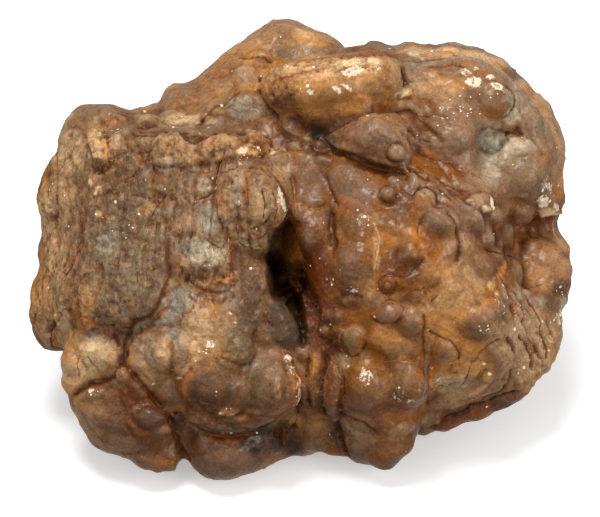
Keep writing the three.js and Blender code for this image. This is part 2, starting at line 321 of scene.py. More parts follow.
# lumps of the crust, as ellipses in the front view:
# x, y, half width, half height, turn in degrees, rise in millimetres, and 0 for soft to 1 for crisp
lumps = [
    # body: broad domes
    (350, 267, 20, 25, 10, 1.2, 0.4), (355, 186, 34, 21, 35, 1.1, 0.35), (343, 172, 18, 11, 0, 0.5, 0.3),
    (312, 187, 18, 26, 10, 1.0, 0.3), (309, 234, 16, 22, 0, 1.0, 0.4), (297, 214, 7, 12, 0, 0.5, 0.4),
    (357, 224, 18, 15, 50, 0.5, 0.1), (408, 254, 14, 12, 0, 0.5, 0.15), (387, 285, 9, 9, 0, 0.22, 0.8),
    (387, 286, 4, 4, 0, 0.36, 0.8), (418, 298, 9, 8, 0, 0.25, 0.5), (388, 194, 7.5, 7.5, 0, 0.95, 0.75),
    (394, 182, 9, 5, 55, 0.7, 0.6), (413, 181, 6, 10, -20, 0.8, 0.65), (425, 199, 11, 11, 0, 0.9, 0.9),
    (441, 222, 20, 17, 30, 1.2, 0.4), (447, 248, 15, 17, 0, 0.5, 0.2), (389, 314, 16, 11, -15, 1.1, 0.5),
    (411, 322, 13, 17, 0, 1.3, 0.5), (352, 341, 13, 14, 0, 0.8, 0.45), (328, 315, 7, 6, 0, 0.6, 0.6),
    (325, 331, 6, 7, 0, 0.7, 0.7), (338, 331, 7, 8, 0, 0.5, 0.5), (338, 315, 6, 6, 0, 0.5, 0.5),
    (372, 384, 24, 28, 0, 1.1, 0.15), (364, 403, 14, 11, 0, 0.4, 0.2), (406, 380, 18, 26, 0, 0.9, 0.15),
    (398, 346, 18, 11, 0, 0.4, 0.1), (446, 350, 15, 16, 0, 0.7, 0.6), (453, 370, 4, 4, 0, 0.4, 0.8),
    (478, 323, 21, 18, 0, 1.2, 0.3), (486, 377, 7, 6, 30, 0.8, 0.6), (501, 366, 14, 30, 10, 0.7, 0.35),
    (455, 298, 22, 22, 0, 0.5, 0.05), (470, 388, 24, 13, -25, 0.5, 0.15),
    (444, 403, 18, 9, -15, 0.4, 0.2), (352, 426, 18, 11, 0, 0.5, 0.3), (318, 436, 17, 18, 0, 0.9, 0.2),
    (395, 447, 20, 15, -20, 0.6, 0.3), (407, 428, 16, 7, -25, 0.5, 0.4), (375, 300, 14, 9, 0, 0.4, 0.3),
    (348, 300, 10, 7, -20, 0.5, 0.3), (398, 228, 13, 8, 10, 0.4, 0.3), (365, 205, 10, 8, 40, 0.4, 0.3),
    (428, 274, 12, 14, 0, 0.3, 0.1),
    # knuckles of the right side
    (474, 220, 15, 10, 50, 1.1, 0.55), (472, 208, 9, 5, 0, 0.5, 0.6), (489, 239, 7, 8, 0, 0.8, 0.6),
    (498, 215, 10, 9, 0, 0.9, 0.6), (507, 237, 8, 15, 0, 1.2, 0.65), (523, 215, 13, 13, 0, 1.3, 0.75),
    (529, 215, 5, 12, 0, 0.3, 0.6), (484, 265, 10, 14, -20, 0.8, 0.5), (497, 255, 10, 7, 40, 0.9, 0.6),
    (502, 264, 5, 7, -20, 0.6, 0.7), (516, 271, 8, 15, -8, 1.3, 0.65), (512, 258, 10, 5, 15, 0.6, 0.6),
    (503, 286, 17, 5, 68, 0.8, 0.6), (515, 303, 20, 6, 66, 0.6, 0.5), (547, 266, 24, 32, 0, 0.7, 0.1),
    (563, 286, 7, 10, 0, 0.5, 0.5), (500, 302, 6, 12, -10, 0.4, 0.5), (535, 320, 16, 14, 0, 0.5, 0.3),
    (548, 228, 12, 6, 10, 0.4, 0.5), (533, 241, 8, 8, 0, 0.4, 0.4),
    # upper right
    (497, 101, 20, 17, 25, 1.3, 0.5), (488, 88, 14, 7, 0, 0.5, 0.4), (528, 176, 27, 29, 20, 0.9, 0.15),
    (438, 92, 30, 17, 10, 0.7, 0.1), (450, 130, 30, 26, 0, 0.6, 0.05), (540, 128, 13, 30, -25, 0.6, 0.1),
    (550, 150, 10, 16, -20, 0.4, 0.2), (548, 200, 12, 12, 0, 0.5, 0.4), (470, 60, 20, 9, 15, 0.5, 0.2),
    (425, 72, 14, 9, 0, 0.4, 0.2), (472, 162, 18, 13, 0, 0.4, 0.1), (408, 60, 14, 7, 0, 0.3, 0.3),
    (430, 52, 26, 7, 3, 0.4, 0.3), (452, 71, 12, 6, 0, 0.4, 0.5), (506, 160, 8, 10, 0, 0.3, 0.2),
    # long lobe, wedge and the small knobs between them
    (330, 94, 56, 25, -3, 0.7, 0.1), (373, 86, 24, 20, 0, 0.6, 0.2), (394, 82, 8, 20, 0, 0.5, 0.4),
    (290, 86, 22, 18, 0, 0.5, 0.25), (285, 67, 24, 8, -10, 0.5, 0.5), (292, 131, 18, 8, 38, 1.2, 0.6),
    (309, 140, 5, 5, 0, 0.6, 0.8), (294, 147, 7, 5, 0, 0.8, 0.7), (307, 150, 5, 5, 0, 0.7, 0.7),
    (320, 145, 7, 5, 0, 0.6, 0.6), (276, 158, 12, 8, 0, 0.8, 0.5), (322, 160, 10, 6, 10, 0.5, 0.5),
    (395, 152, 7.5, 8, 0, 0.9, 0.85), (384, 132, 18, 10, 15, 0.6, 0.25), (352, 147, 12, 6, 15, 0.5, 0.4),
    (380, 160, 22, 6, 25, 0.4, 0.3), (403, 157, 6, 10, -15, 0.5, 0.5), (336, 62, 30, 6, -3, 0.3, 0.5),
    # back slope
    (245, 77, 15, 14, 0, 0.7, 0.3), (222, 88, 13, 12, 0, 0.6, 0.3), (205, 97, 12, 9, 0, 0.7, 0.4),
    (180, 97, 20, 11, -15, 0.8, 0.3), (215, 108, 12, 7, 0, 0.7, 0.5), (262, 58, 10, 9, 0, 0.7, 0.4),
    (232, 61, 12, 8, -20, 0.6, 0.3), (285, 34, 26, 14, 0, 0.5, 0.1), (195, 76, 14, 8, -25, 0.5, 0.3),
    (222, 71, 9, 6, 0, 0.5, 0.4), (165, 108, 12, 5, 0, 0.5, 0.4), (250, 45, 14, 8, -30, 0.5, 0.3),
    (245, 108, 20, 14, 10, 0.8, 0.5), (232, 102, 9, 8, 0, 0.8, 0.4), (256, 100, 8, 7, 0, 0.8, 0.4),
    (213, 128, 15, 10, -35, 1.0, 0.5), (240, 127, 20, 8, 0, 0.6, 0.4), (263, 126, 12, 9, 30, 0.6, 0.4),
    (148, 120, 14, 7, 0, 0.8, 0.5), (180, 121, 26, 4.5, 8, 0.5, 0.4), (188, 131, 16, 4, 12, 0.5, 0.4),
    (118, 119, 13, 7, -20, 0.7, 0.5), (198, 138, 8, 5, 0, 0.5, 0.5), (205, 117, 8, 5, 40, 0.5, 0.5),
    # fibrous block
    (102, 112, 22, 9, -5, 0.7, 0.4), (75, 117, 10, 11, 0, 0.6, 0.4), (72, 137, 14, 10, 0, 0.5, 0.4),
    (116, 143, 11, 13, 0, 0.9, 0.5), (128, 133, 8, 7, 0, 0.6, 0.5), (145, 141, 11, 6, -10, 0.7, 0.5),
    (160, 144, 9, 10, 0, 0.8, 0.55), (177, 143, 10, 10, 0, 0.8, 0.5), (205, 146, 9, 8, 0, 0.7, 0.5),
    (227, 143, 15, 8, 0, 0.8, 0.5), (252, 138, 9, 7, 0, 0.9, 0.6), (50, 196, 9, 26, 5, 0.6, 0.3),
    (46, 312, 12, 34, 5, 0.7, 0.3), (52, 340, 9, 13, -20, 0.5, 0.4), (146, 183, 16, 14, 0, 0.5, 0.35),
    (205, 190, 11, 13, 0, 0.5, 0.35), (237, 194, 9, 26, 4, 0.5, 0.35), (259, 200, 11, 24, -5, 0.5, 0.35),
    (275, 212, 8, 24, -12, 0.6, 0.4), (248, 240, 13, 11, 0, 0.4, 0.4), (205, 255, 26, 15, 5, 0.6, 0.5),
    (222, 246, 9, 8, 0, 0.4, 0.5), (182, 298, 13, 15, 30, 0.5, 0.4), (208, 222, 12, 20, 0, 0.4, 0.4),
    (238, 242, 10, 7, 0, 0.5, 0.5), (257, 242, 9, 9, 0, 0.6, 0.5), (203, 302, 9, 6, 0, 0.5, 0.5),
    (222, 292, 8, 7, 0, 0.4, 0.5), (254, 275, 14, 28, 0, 0.5, 0.3), (100, 160, 10, 8, 0, 0.4, 0.4),
    (140, 265, 22, 40, 15, 0.6, 0.2), (85, 215, 8, 30, -3, 0.4, 0.4), (72, 260, 8, 24, 15, 0.4, 0.4),
    (62, 200, 8, 30, -4, 0.4, 0.4),
    # below the block
    (284, 321, 19, 28, -25, 1.3, 0.35), (272, 334, 17, 15, -20, 1.1, 0.25),
    (243, 348, 15, 15, 0, 0.8, 0.5), (98, 352, 20, 21, 0, 1.2, 0.35), (74, 368, 14, 18, -10, 0.7, 0.3),
    (100, 333, 17, 10, 0, 0.5, 0.35), (150, 356, 24, 28, -15, 0.4, 0.3), (180, 352, 8, 24, 10, 0.5, 0.3),
    (205, 350, 18, 14, 0, 0.35, 0.3), (214, 386, 25, 22, 0, 0.3, 0.3), (238, 392, 14, 24, 0, 0.6, 0.2),
    (264, 386, 21, 28, 0, 0.35, 0.3), (272, 368, 14, 9, 20, 0.4, 0.4), (277, 388, 6, 22, 0, 0.6, 0.55),
    (150, 416, 20, 14, 25, 1.2, 0.6), (164, 429, 12, 7, 10, 0.6, 0.55), (96, 412, 18, 14, 30, 0.7, 0.35),
    (119, 426, 13, 14, 0, 0.5, 0.4), (93, 394, 14, 8, -20, 0.7, 0.5), (141, 388, 13, 12, 0, 0.8, 0.4),
    (128, 443, 30, 12, 22, 0.5, 0.25), (150, 459, 28, 9, 14, 0.6, 0.4), (122, 374, 9, 9, 0, 0.6, 0.5),
    (225, 457, 34, 18, 0, 0.8, 0.2), (264, 445, 16, 18, 0, 0.5, 0.25), (200, 414, 13, 8, 30, 0.7, 0.45),
    (228, 413, 12, 6, 0, 0.6, 0.5), (243, 427, 18, 8, -15, 0.7, 0.5), (170, 392, 14, 14, 0, 0.5, 0.3),
    (203, 444, 12, 14, 0, 0.5, 0.3), (196, 420, 15, 4, 25, 0.5, 0.5), (216, 427, 14, 3.5, 8, 0.5, 0.5),
    (240, 420, 13, 3.5, -12, 0.5, 0.5), (256, 412, 14, 4, -10, 0.5, 0.5), (226, 420, 9, 3, 0, 0.4, 0.5),
    (303, 352, 8, 8, 0, 0.7, 0.5), (303, 392, 6, 16, 0, 0.5, 0.4),
]

# broad swells and dips along the rim: x, y, half width in the front view, and rise in millimetres
swells = [
    (571, 274, 22, 1.9), (568, 294, 20, 1.4), (562, 318, 16, 0.8), (560, 340, 24, 1.2),
    (551, 367, 26, 1.7), (532, 386, 24, 1.6), (513, 400, 24, 1.5), (490, 412, 22, 1.1),
    (470, 420, 24, 0.9), (448, 429, 22, 1.0), (428, 433, 16, 2.2), (406, 446, 18, 1.0),
    (388, 466, 24, 1.1), (356, 458, 26, 1.2), (335, 453, 20, 0.9), (300, 453, 26, 1.4),
    (258, 468, 20, 0.7), (216, 477, 30, 1.2), (170, 462, 12, 1.2), (162, 469, 20, 1.3),
    (146, 467, 24, 1.0), (100, 448, 28, 1.2), (72, 408, 20, 0.8), (64, 386, 16, 0.8), (60, 366, 20, 0.9),
    (40, 344, 22, 1.0), (29, 318, 22, 0.6), (31, 290, 26, 1.2), (38, 202, 24, 0.4), (57, 136, 18, 0.7),
    (70, 112, 16, -0.5), (95, 104, 22, -0.4), (130, 106, 24, -1.2), (155, 102, 22, -2.1),
    (190, 78, 26, -0.7), (227, 50, 26, 0.9), (280, 18, 20, 0.4), (358, 43, 26, -1.3), (390, 43, 26, -1.6),
    (430, 42, 30, -0.9), (466, 45, 22, -0.9), (494, 55, 24, -1.0), (516, 68, 22, -1.2),
    (530, 84, 16, 0.5), (546, 101, 24, 1.2), (562, 180, 24, -0.5),
]

# the same crust where the front view doesn't show it, and fine grains all over
crust = {
    "seed": 11,
    "farTries": 900,
    "farSizes": (1.3, 5.0),  # across, in millimetres
    "farRise": 0.18,  # of their size, and up to this much more
    "farRiseMore": 0.14,
    "farSpacing": 0.75,  # least distance between two, as a share of their sizes added up
    "grainTries": 900,
    "grainSizes": (0.35, 0.8),
    "grainRise": 0.3,
    "sink": 0.12,  # how far the skin is drawn in, to keep the lumps inside the outline
}

# how a lump stands on the skin
lumpForm = {
    "foot": 1.12,  # its foot reaches this much past its ellipse
    "depthShare": 0.55,
    "softPower": 1.9,
    "crispPower": 1.35,  # taken off for a crisp one
    "smallRise": 1.1,
    "broadLoss": 0.45,  # broad lumps are flatter
    "broadFrom": 8,  # mean half width, in the front view
    "broadTo": 22,
}
crest = np.zeros(len(points))  # 1 on the tops of the lumps, 0 at their feet


def lumpShape(reach, rise, crisp):
    power = lumpForm["softPower"] - lumpForm["crispPower"] * crisp
    return rise * np.maximum(1 - reach * reach, 0) ** power


def raiseLumps():
    height = np.zeros(len(points))
    for x, y, wide, high, turn, rise, crisp in lumps:
        foot = lumpForm["foot"]
        near, reach = reachFrom(x, y, wide * foot, high * foot, turn, 1.0, lumpForm["depthShare"])
        broad = smooth(lumpForm["broadFrom"], lumpForm["broadTo"], (wide + high) / 2)
        flat = lumpForm["smallRise"] - lumpForm["broadLoss"] * broad
        height[near] = np.maximum(height[near], lumpShape(reach, rise * flat, crisp))
        crest[near] = np.maximum(crest[near], 1 - reach)
    return height


def rimSwells():
    height = np.zeros(len(points))
    for x, y, wide, rise in swells:
        depthShare = 0.6 if rise > 0 else 0.25  # dips reach further back
        near, reach = reachFrom(x, y, wide, wide, 0, 1.0, depthShare)
        height[near] += rise * smooth(1.0, 0.1, reach)
    return height


def raiseRound(height, middle, size, rise, crisp):
    low, up = np.searchsorted(sortedX, (middle[0] - size, middle[0] + size))
    near = pointsByX[low:up]
    reach = np.linalg.norm(points[near] - middle, axis=1) / size
    height[near] = np.maximum(height[near], lumpShape(reach, rise, crisp))
    if size > 1:
        crest[near] = np.maximum(crest[near], 1 - reach)


def scatterLumps(height):
    chance = np.random.default_rng(crust["seed"])
    smallest, largest = crust["farSizes"]
    centres, sizes = [points[0]], [0.1]
    facingAway = smooth(0.1, 0.6, -(normals @ outOfFace))
    farPoints = np.flatnonzero((onFront < 0.2) & (offBreak > 0.6))
    for i in chance.permutation(farPoints)[: crust["farTries"]]:
        size = smallest + (largest - smallest) * chance.random() ** 1.8
        gaps = np.linalg.norm(np.array(centres) - points[i], axis=1)
        if (gaps - crust["farSpacing"] * (np.array(sizes) + size)).min() > 0:
            centres.append(points[i])
            sizes.append(size)
            rise = size * (crust["farRise"] + crust["farRiseMore"] * chance.random())
            rise = rise * (0.1 + 0.9 * facingAway[i])  # low near the rim, so the outline stays
            raiseRound(height, points[i], size * 1.1, rise, chance.random() * 0.7)
    smallest, largest = crust["grainSizes"]
    for i in chance.permutation(len(points))[: crust["grainTries"]]:
        size = smallest + (largest - smallest) * chance.random()
        grain = np.zeros(len(points))
        raiseRound(grain, points[i], size, size * crust["grainRise"], 0.4)
        height += grain


lumpHeight = raiseLumps()
scatterLumps(lumpHeight)
print("lumps raised,", len(lumps))

# colours by name, in linear light
colours = {
    "amber": (0.25, 0.086, 0.005),
    "honey": (0.46, 0.235, 0.075),
    "darkAmber": (0.085, 0.022, 0.002),
    "nearBlack": (0.016, 0.006, 0.002),
    "purpleBrown": (0.145, 0.064, 0.028),
    # umber is laid chiefly as painted shade, low on the stone and under its overhangs
    "umber": (0.080, 0.033, 0.012),
    "mauve": (0.215, 0.130, 0.080),
    "paleMauve": (0.33, 0.213, 0.138),
    "fibreBrown": (0.19, 0.113, 0.056),
    "greyBrown": (0.215, 0.150, 0.095),
    "olive": (0.165, 0.103, 0.042),
    "oliveGrey": (0.195, 0.15, 0.092),
    "darkGrey": (0.085, 0.062, 0.040),
    "rust": (0.33, 0.098, 0.018),
    "orange": (0.56, 0.23, 0.05),
    "tan": (0.40, 0.245, 0.122),
    "beige": (0.58, 0.40, 0.23),
    "cream": (0.72, 0.54, 0.33),
    "chalk": (0.85, 0.77, 0.64),
    "blueGrey": (0.27, 0.26, 0.21),
    "greyWhite": (0.44, 0.375, 0.27),
    "redBrown": (0.12, 0.030, 0.006),
    "yellow": (0.60, 0.38, 0.14),
}

# plates: raised or sunken patches, each an outline in the front view
# height in millimetres, edge = width of its step, ragged = how far noise pushes its outline
plates = {
    "crustKnob": {
        "outline": [(217, 184), (226, 173), (246, 168), (262, 174), (275, 186), (284, 202), (286, 221),
                    (279, 238), (273, 252), (256, 254), (240, 252), (233, 242), (228, 228), (219, 214)],
        "height": 1.0, "edge": 0.9, "ragged": 0.7, "rough": 0.25,
    },
    "blockStep": {
        "outline": [(166, 218), (168, 240), (166, 258), (167, 275), (162, 292), (157, 306), (146, 318),
                    (130, 322), (84, 330), (78, 300), (84, 240), (90, 200), (120, 196), (150, 200)],
        "height": 0.6, "edge": 0.5, "ragged": 0.6, "rough": 0.15,
    },
    "topLedge": {
        "outline": [(152, 142), (160, 135), (178, 134), (186, 141), (196, 144), (206, 139), (218, 137),
                    (240, 139), (262, 135), (272, 141), (268, 152), (230, 158), (190, 166), (150, 164)],
        "height": 0.9, "edge": 0.5, "ragged": 0.6, "rough": 0.25,
    },
    "paleCrystals": {
        "outline": [(89, 133), (97, 132), (103, 137), (108, 148), (112, 162), (104, 163), (95, 160),
                    (91, 150), (89, 141)],
        "height": 1.1, "edge": 0.3, "ragged": 0.4, "rough": 0.35,
    },
    "crystalSlot": {
        "outline": [(90, 166), (104, 163), (111, 167), (104, 174), (92, 173)],
        "height": -0.7, "edge": 0.5, "ragged": 0.6, "rough": 0.1,
    },
    "amberSlot": {
        "outline": [(136, 126), (152, 126), (168, 129), (164, 133), (142, 131)],
        "height": -0.8, "edge": 0.3, "ragged": 0.2, "rough": 0.05,
    },
    "palePatch": {
        "outline": [(177, 246), (184, 238), (196, 233), (208, 236), (216, 243), (226, 248), (234, 256),
                    (231, 264), (219, 266), (210, 270), (196, 270), (186, 273), (179, 266), (176, 256)],
        "height": 0.45, "edge": 0.3, "ragged": 0.9, "rough": 0.3,
    },
    "brownBand": {
        "outline": [(182, 272), (205, 273), (226, 270), (236, 262), (238, 284), (228, 294), (206, 296),
                    (196, 300), (192, 290), (183, 282)],
        "height": -0.3, "edge": 0.6, "ragged": 1.2, "rough": 0.4,
    },
    "greyTongue": {
        "outline": [(178, 284), (192, 292), (192, 300), (184, 312), (180, 328), (166, 328), (150, 330),
                    (134, 338), (138, 326), (156, 318), (163, 302), (166, 290)],
        "height": -0.35, "edge": 0.35, "ragged": 0.5, "rough": 0.08,
    },
    "beigeSlab": {
        "outline": [(136, 336), (152, 328), (168, 326), (174, 336), (170, 356), (168, 376), (160, 386),
                    (144, 374), (129, 362), (128, 348)],
        "height": 0.35, "edge": 0.45, "ragged": 0.5, "rough": 0.15,
    },
    "leafBlade": {
        "outline": [(331, 362), (337, 366), (341, 378), (341, 392), (337, 404), (340, 418), (334, 420),
                    (328, 410), (326, 394), (326, 376)],
        "height": 1.2, "edge": 0.3, "ragged": 0.12, "rough": 0.05,
    },
    "ridgeColumn": {
        "outline": [(310, 354), (318, 354), (326, 366), (325, 395), (319, 410), (311, 405), (308, 385),
                    (308, 365)],
        "height": 0.7, "edge": 0.45, "ragged": 0.4, "rough": 0.2,
    },
    "whiteCrystal": {
        "outline": [(284, 354), (290, 355), (293, 361), (288, 363)],
        "height": 0.7, "edge": 0.25, "ragged": 0.1, "rough": 0.1,
    },
    "greyEdge": {
        "outline": [(284, 356), (291, 366), (296, 378), (299, 388), (296, 406), (292, 406), (290, 392),
                    (292, 382), (287, 370)],
        "height": 0.5, "edge": 0.3, "ragged": 0.2, "rough": 0.15,
    },
    "wedgeFace": {
        "outline": [(325, 139), (345, 127), (362, 120), (378, 114), (394, 113), (404, 124), (406, 140),
                    (410, 160), (404, 168), (392, 166), (372, 161), (352, 152), (338, 150)],
        "height": 1.0, "edge": 0.5, "ragged": 0.25, "rough": 0.08,
    },
    "paleFlake": {
        "outline": [(396, 92), (402, 87), (410, 88), (413, 97), (406, 96), (399, 99)],
        "height": 0.8, "edge": 0.25, "ragged": 0.3, "rough": 0.15,
    },
    "lobeCap": {
        "outline": [(268, 70), (285, 62), (330, 56), (370, 54), (392, 58), (402, 70), (403, 84),
                    (392, 92), (380, 78), (340, 70), (300, 72), (280, 78)],
        "height": 0.35, "edge": 0.4, "ragged": 0.6, "rough": 0.2,
    },
    "lobeGap": {
        "outline": [(401, 66), (407, 70), (409, 82), (403, 88), (400, 78)],
        "height": -1.3, "edge": 0.6, "ragged": 0.2, "rough": 0.05,
    },
    "chip": {
        "outline": [(466, 200), (476, 195), (488, 193), (493, 200), (494, 208), (488, 213), (480, 208),
                    (472, 205)],
        "height": 0.8, "edge": 0.3, "ragged": 0.2, "rough": 0.06,
    },
    "vug": {
        "outline": [(483, 150), (481, 141), (484, 132), (492, 127), (503, 129), (508, 132), (506, 140),
                    (500, 150), (492, 155)],
        "height": -0.6, "edge": 0.4, "ragged": 0.8, "rough": 0.2,
    },
    "vugTail": {
        "outline": [(506, 130), (512, 131), (518, 124), (521, 130), (523, 136), (514, 136), (506, 136)],
        "height": -0.7, "edge": 0.4, "ragged": 0.6, "rough": 0.1,
    },
    "vugLip": {
        "outline": [(500, 152), (506, 142), (516, 138), (530, 140), (540, 150), (538, 160), (520, 162),
                    (500, 166), (490, 160)],
        "height": 0.4, "edge": 0.6, "ragged": 0.4, "rough": 0.05,
    },
    "flangeStep": {
        "outline": [(520, 226), (540, 219), (556, 218), (562, 232), (575, 256), (575, 290), (560, 300),
                    (545, 284), (524, 288), (520, 250)],
        "height": -0.6, "edge": 0.8, "ragged": 0.3, "rough": 0.1,
    },
    "creamTip": {
        "outline": [(540, 212), (548, 208), (558, 208), (560, 212), (550, 216), (540, 217)],
        "height": 0.6, "edge": 0.3, "ragged": 0.3, "rough": 0.2,
    },
    "amberBasin": {
        "outline": [(381, 242), (394, 234), (414, 236), (424, 250), (422, 262), (412, 274), (392, 276),
                    (380, 274), (378, 258)],
        "height": -0.3, "edge": 1.3, "ragged": 0.4, "rough": 0.02,
    },
}

# the finer relief: heights in millimetres, and what shapes it
relief = {
    "fibres": 0.5,
    "column": 0.35,
    "crumbs": 0.34,
    "ribs": 0.16,
    "streaks": 0.35,
    "swell": 0.35,
    "lumps": 1.15,  # times the rise that each lump is given
    "fibresFlatten": 0.55,  # share of a lump's rise that fades in the fibrous zone
    "wear": 0.17,
    "pebbles": 0.1,
    "farWear": 0.35,
    "pits": 0.2,
    "lineWidth": 0.75,  # times the width that each line is given
    "lineWander": 0.22,
    "lineFoot": 0.22,  # how far the cut goes on past the line's width
    "lineReach": 4,  # only points this near a line's box are looked at
    "deepest": -2.6,
    "highest": 2.2,
    "ribCentre": (24, -6),  # across and up the face; the ribs are arcs round it
    "ribWaves": 3.6,  # radians a millimetre
    "streakWaves": (3.4, 1.5),
    "streakSlant": (0.64, 0.77),
}


def outsideOf(outline, x, y):
    # signed distance in the view to a closed outline, negative inside
    nearest = np.full(len(x), 1e9)
    crossed = np.zeros(len(x), bool)
    for (ax, ay), (bx, by) in zip(outline, outline[1:] + outline[:1]):
        ex, ey = bx - ax, by - ay
        along = np.clip(((x - ax) * ex + (y - ay) * ey) / (ex * ex + ey * ey), 0, 1)
        nearest = np.minimum(nearest, np.hypot(x - ax - along * ex, y - ay - along * ey))
        if ay != by:
            crossed ^= ((ay > y) != (by > y)) & (x < ex * (y - ay) / ey + ax)
    return np.where(crossed, -nearest, nearest)


def plateRelief():
    height = np.zeros(len(points))
    fray = layered(points, 2.2, 500, 3)
    crumble = layered(points, 1.3, 700, 2)
    for plate in plates.values():
        middle = np.mean([onSkin(x, y) for x, y in plate["outline"]], axis=0)
        gap = outsideOf(plate["outline"], viewX, viewY) * pixelSize(middle) + plate["ragged"] * 0.7 * fray
        here = smooth(16, 9, np.abs((points - middle) @ outOfFace)) * onFront
        share = smooth(plate["edge"] * 0.5, -plate["edge"] * 0.5, gap) * here
        height += share * (plate["height"] + plate["rough"] * crumble)
    return height


plateHeight = plateRelief()
print("plates made,", len(plates))

# the deep pit, sunk straight back from the face
pit = {
    "outline": [(269, 254), (277, 249), (284, 262), (291, 282), (299, 296), (304, 316), (305, 338),
                (303, 346), (300, 334), (294, 318), (285, 304), (269, 295)],
    "rimPlaces": [(262, 232), (330, 300), (300, 350)],  # three places on the face round its mouth
    "deeper": 4.5,  # millimetres, as are the next five
    "edge": 1.3,
    "reach": 26,
    "reachEdge": 4,
    "wallTop": 2.0,  # its amber right wall slopes down to the left, from here
    "wallFall": 8.0,
    "wallSlope": (303, 280),  # x where that wall starts to fall, and x where it ends
    "wallUpper": (212, 222),  # the soft edges of the wall, outer and inner, in the front view
    "wallLower": (276, 258),
    "wallLeft": (264, 272),
    "wallRight": (312, 306),
}

pitRim = np.mean([onSkin(x, y) for x, y in pit["rimPlaces"]], axis=0)
behindRim = (pitRim - points) @ outOfFace
withinReach = smooth(pit["reach"], pit["reach"] - pit["reachEdge"], behindRim)


def pitShare():
    gap = outsideOf(pit["outline"], viewX, viewY) * pixelSize(pitRim)
    return smooth(pit["edge"] * 0.5, -pit["edge"], gap) * withinReach


def pitWall():
    # how far the points of the wall come forward
    depth = pit["wallTop"] + pit["wallFall"] * smooth(*pit["wallSlope"], viewX)
    here = smooth(*pit["wallUpper"], viewY) * smooth(*pit["wallLower"], viewY)
    here = here * smooth(*pit["wallLeft"], viewX) * smooth(*pit["wallRight"], viewX)
    return np.clip(behindRim - depth, 0, None) * here * withinReach


inPit = pitShare()

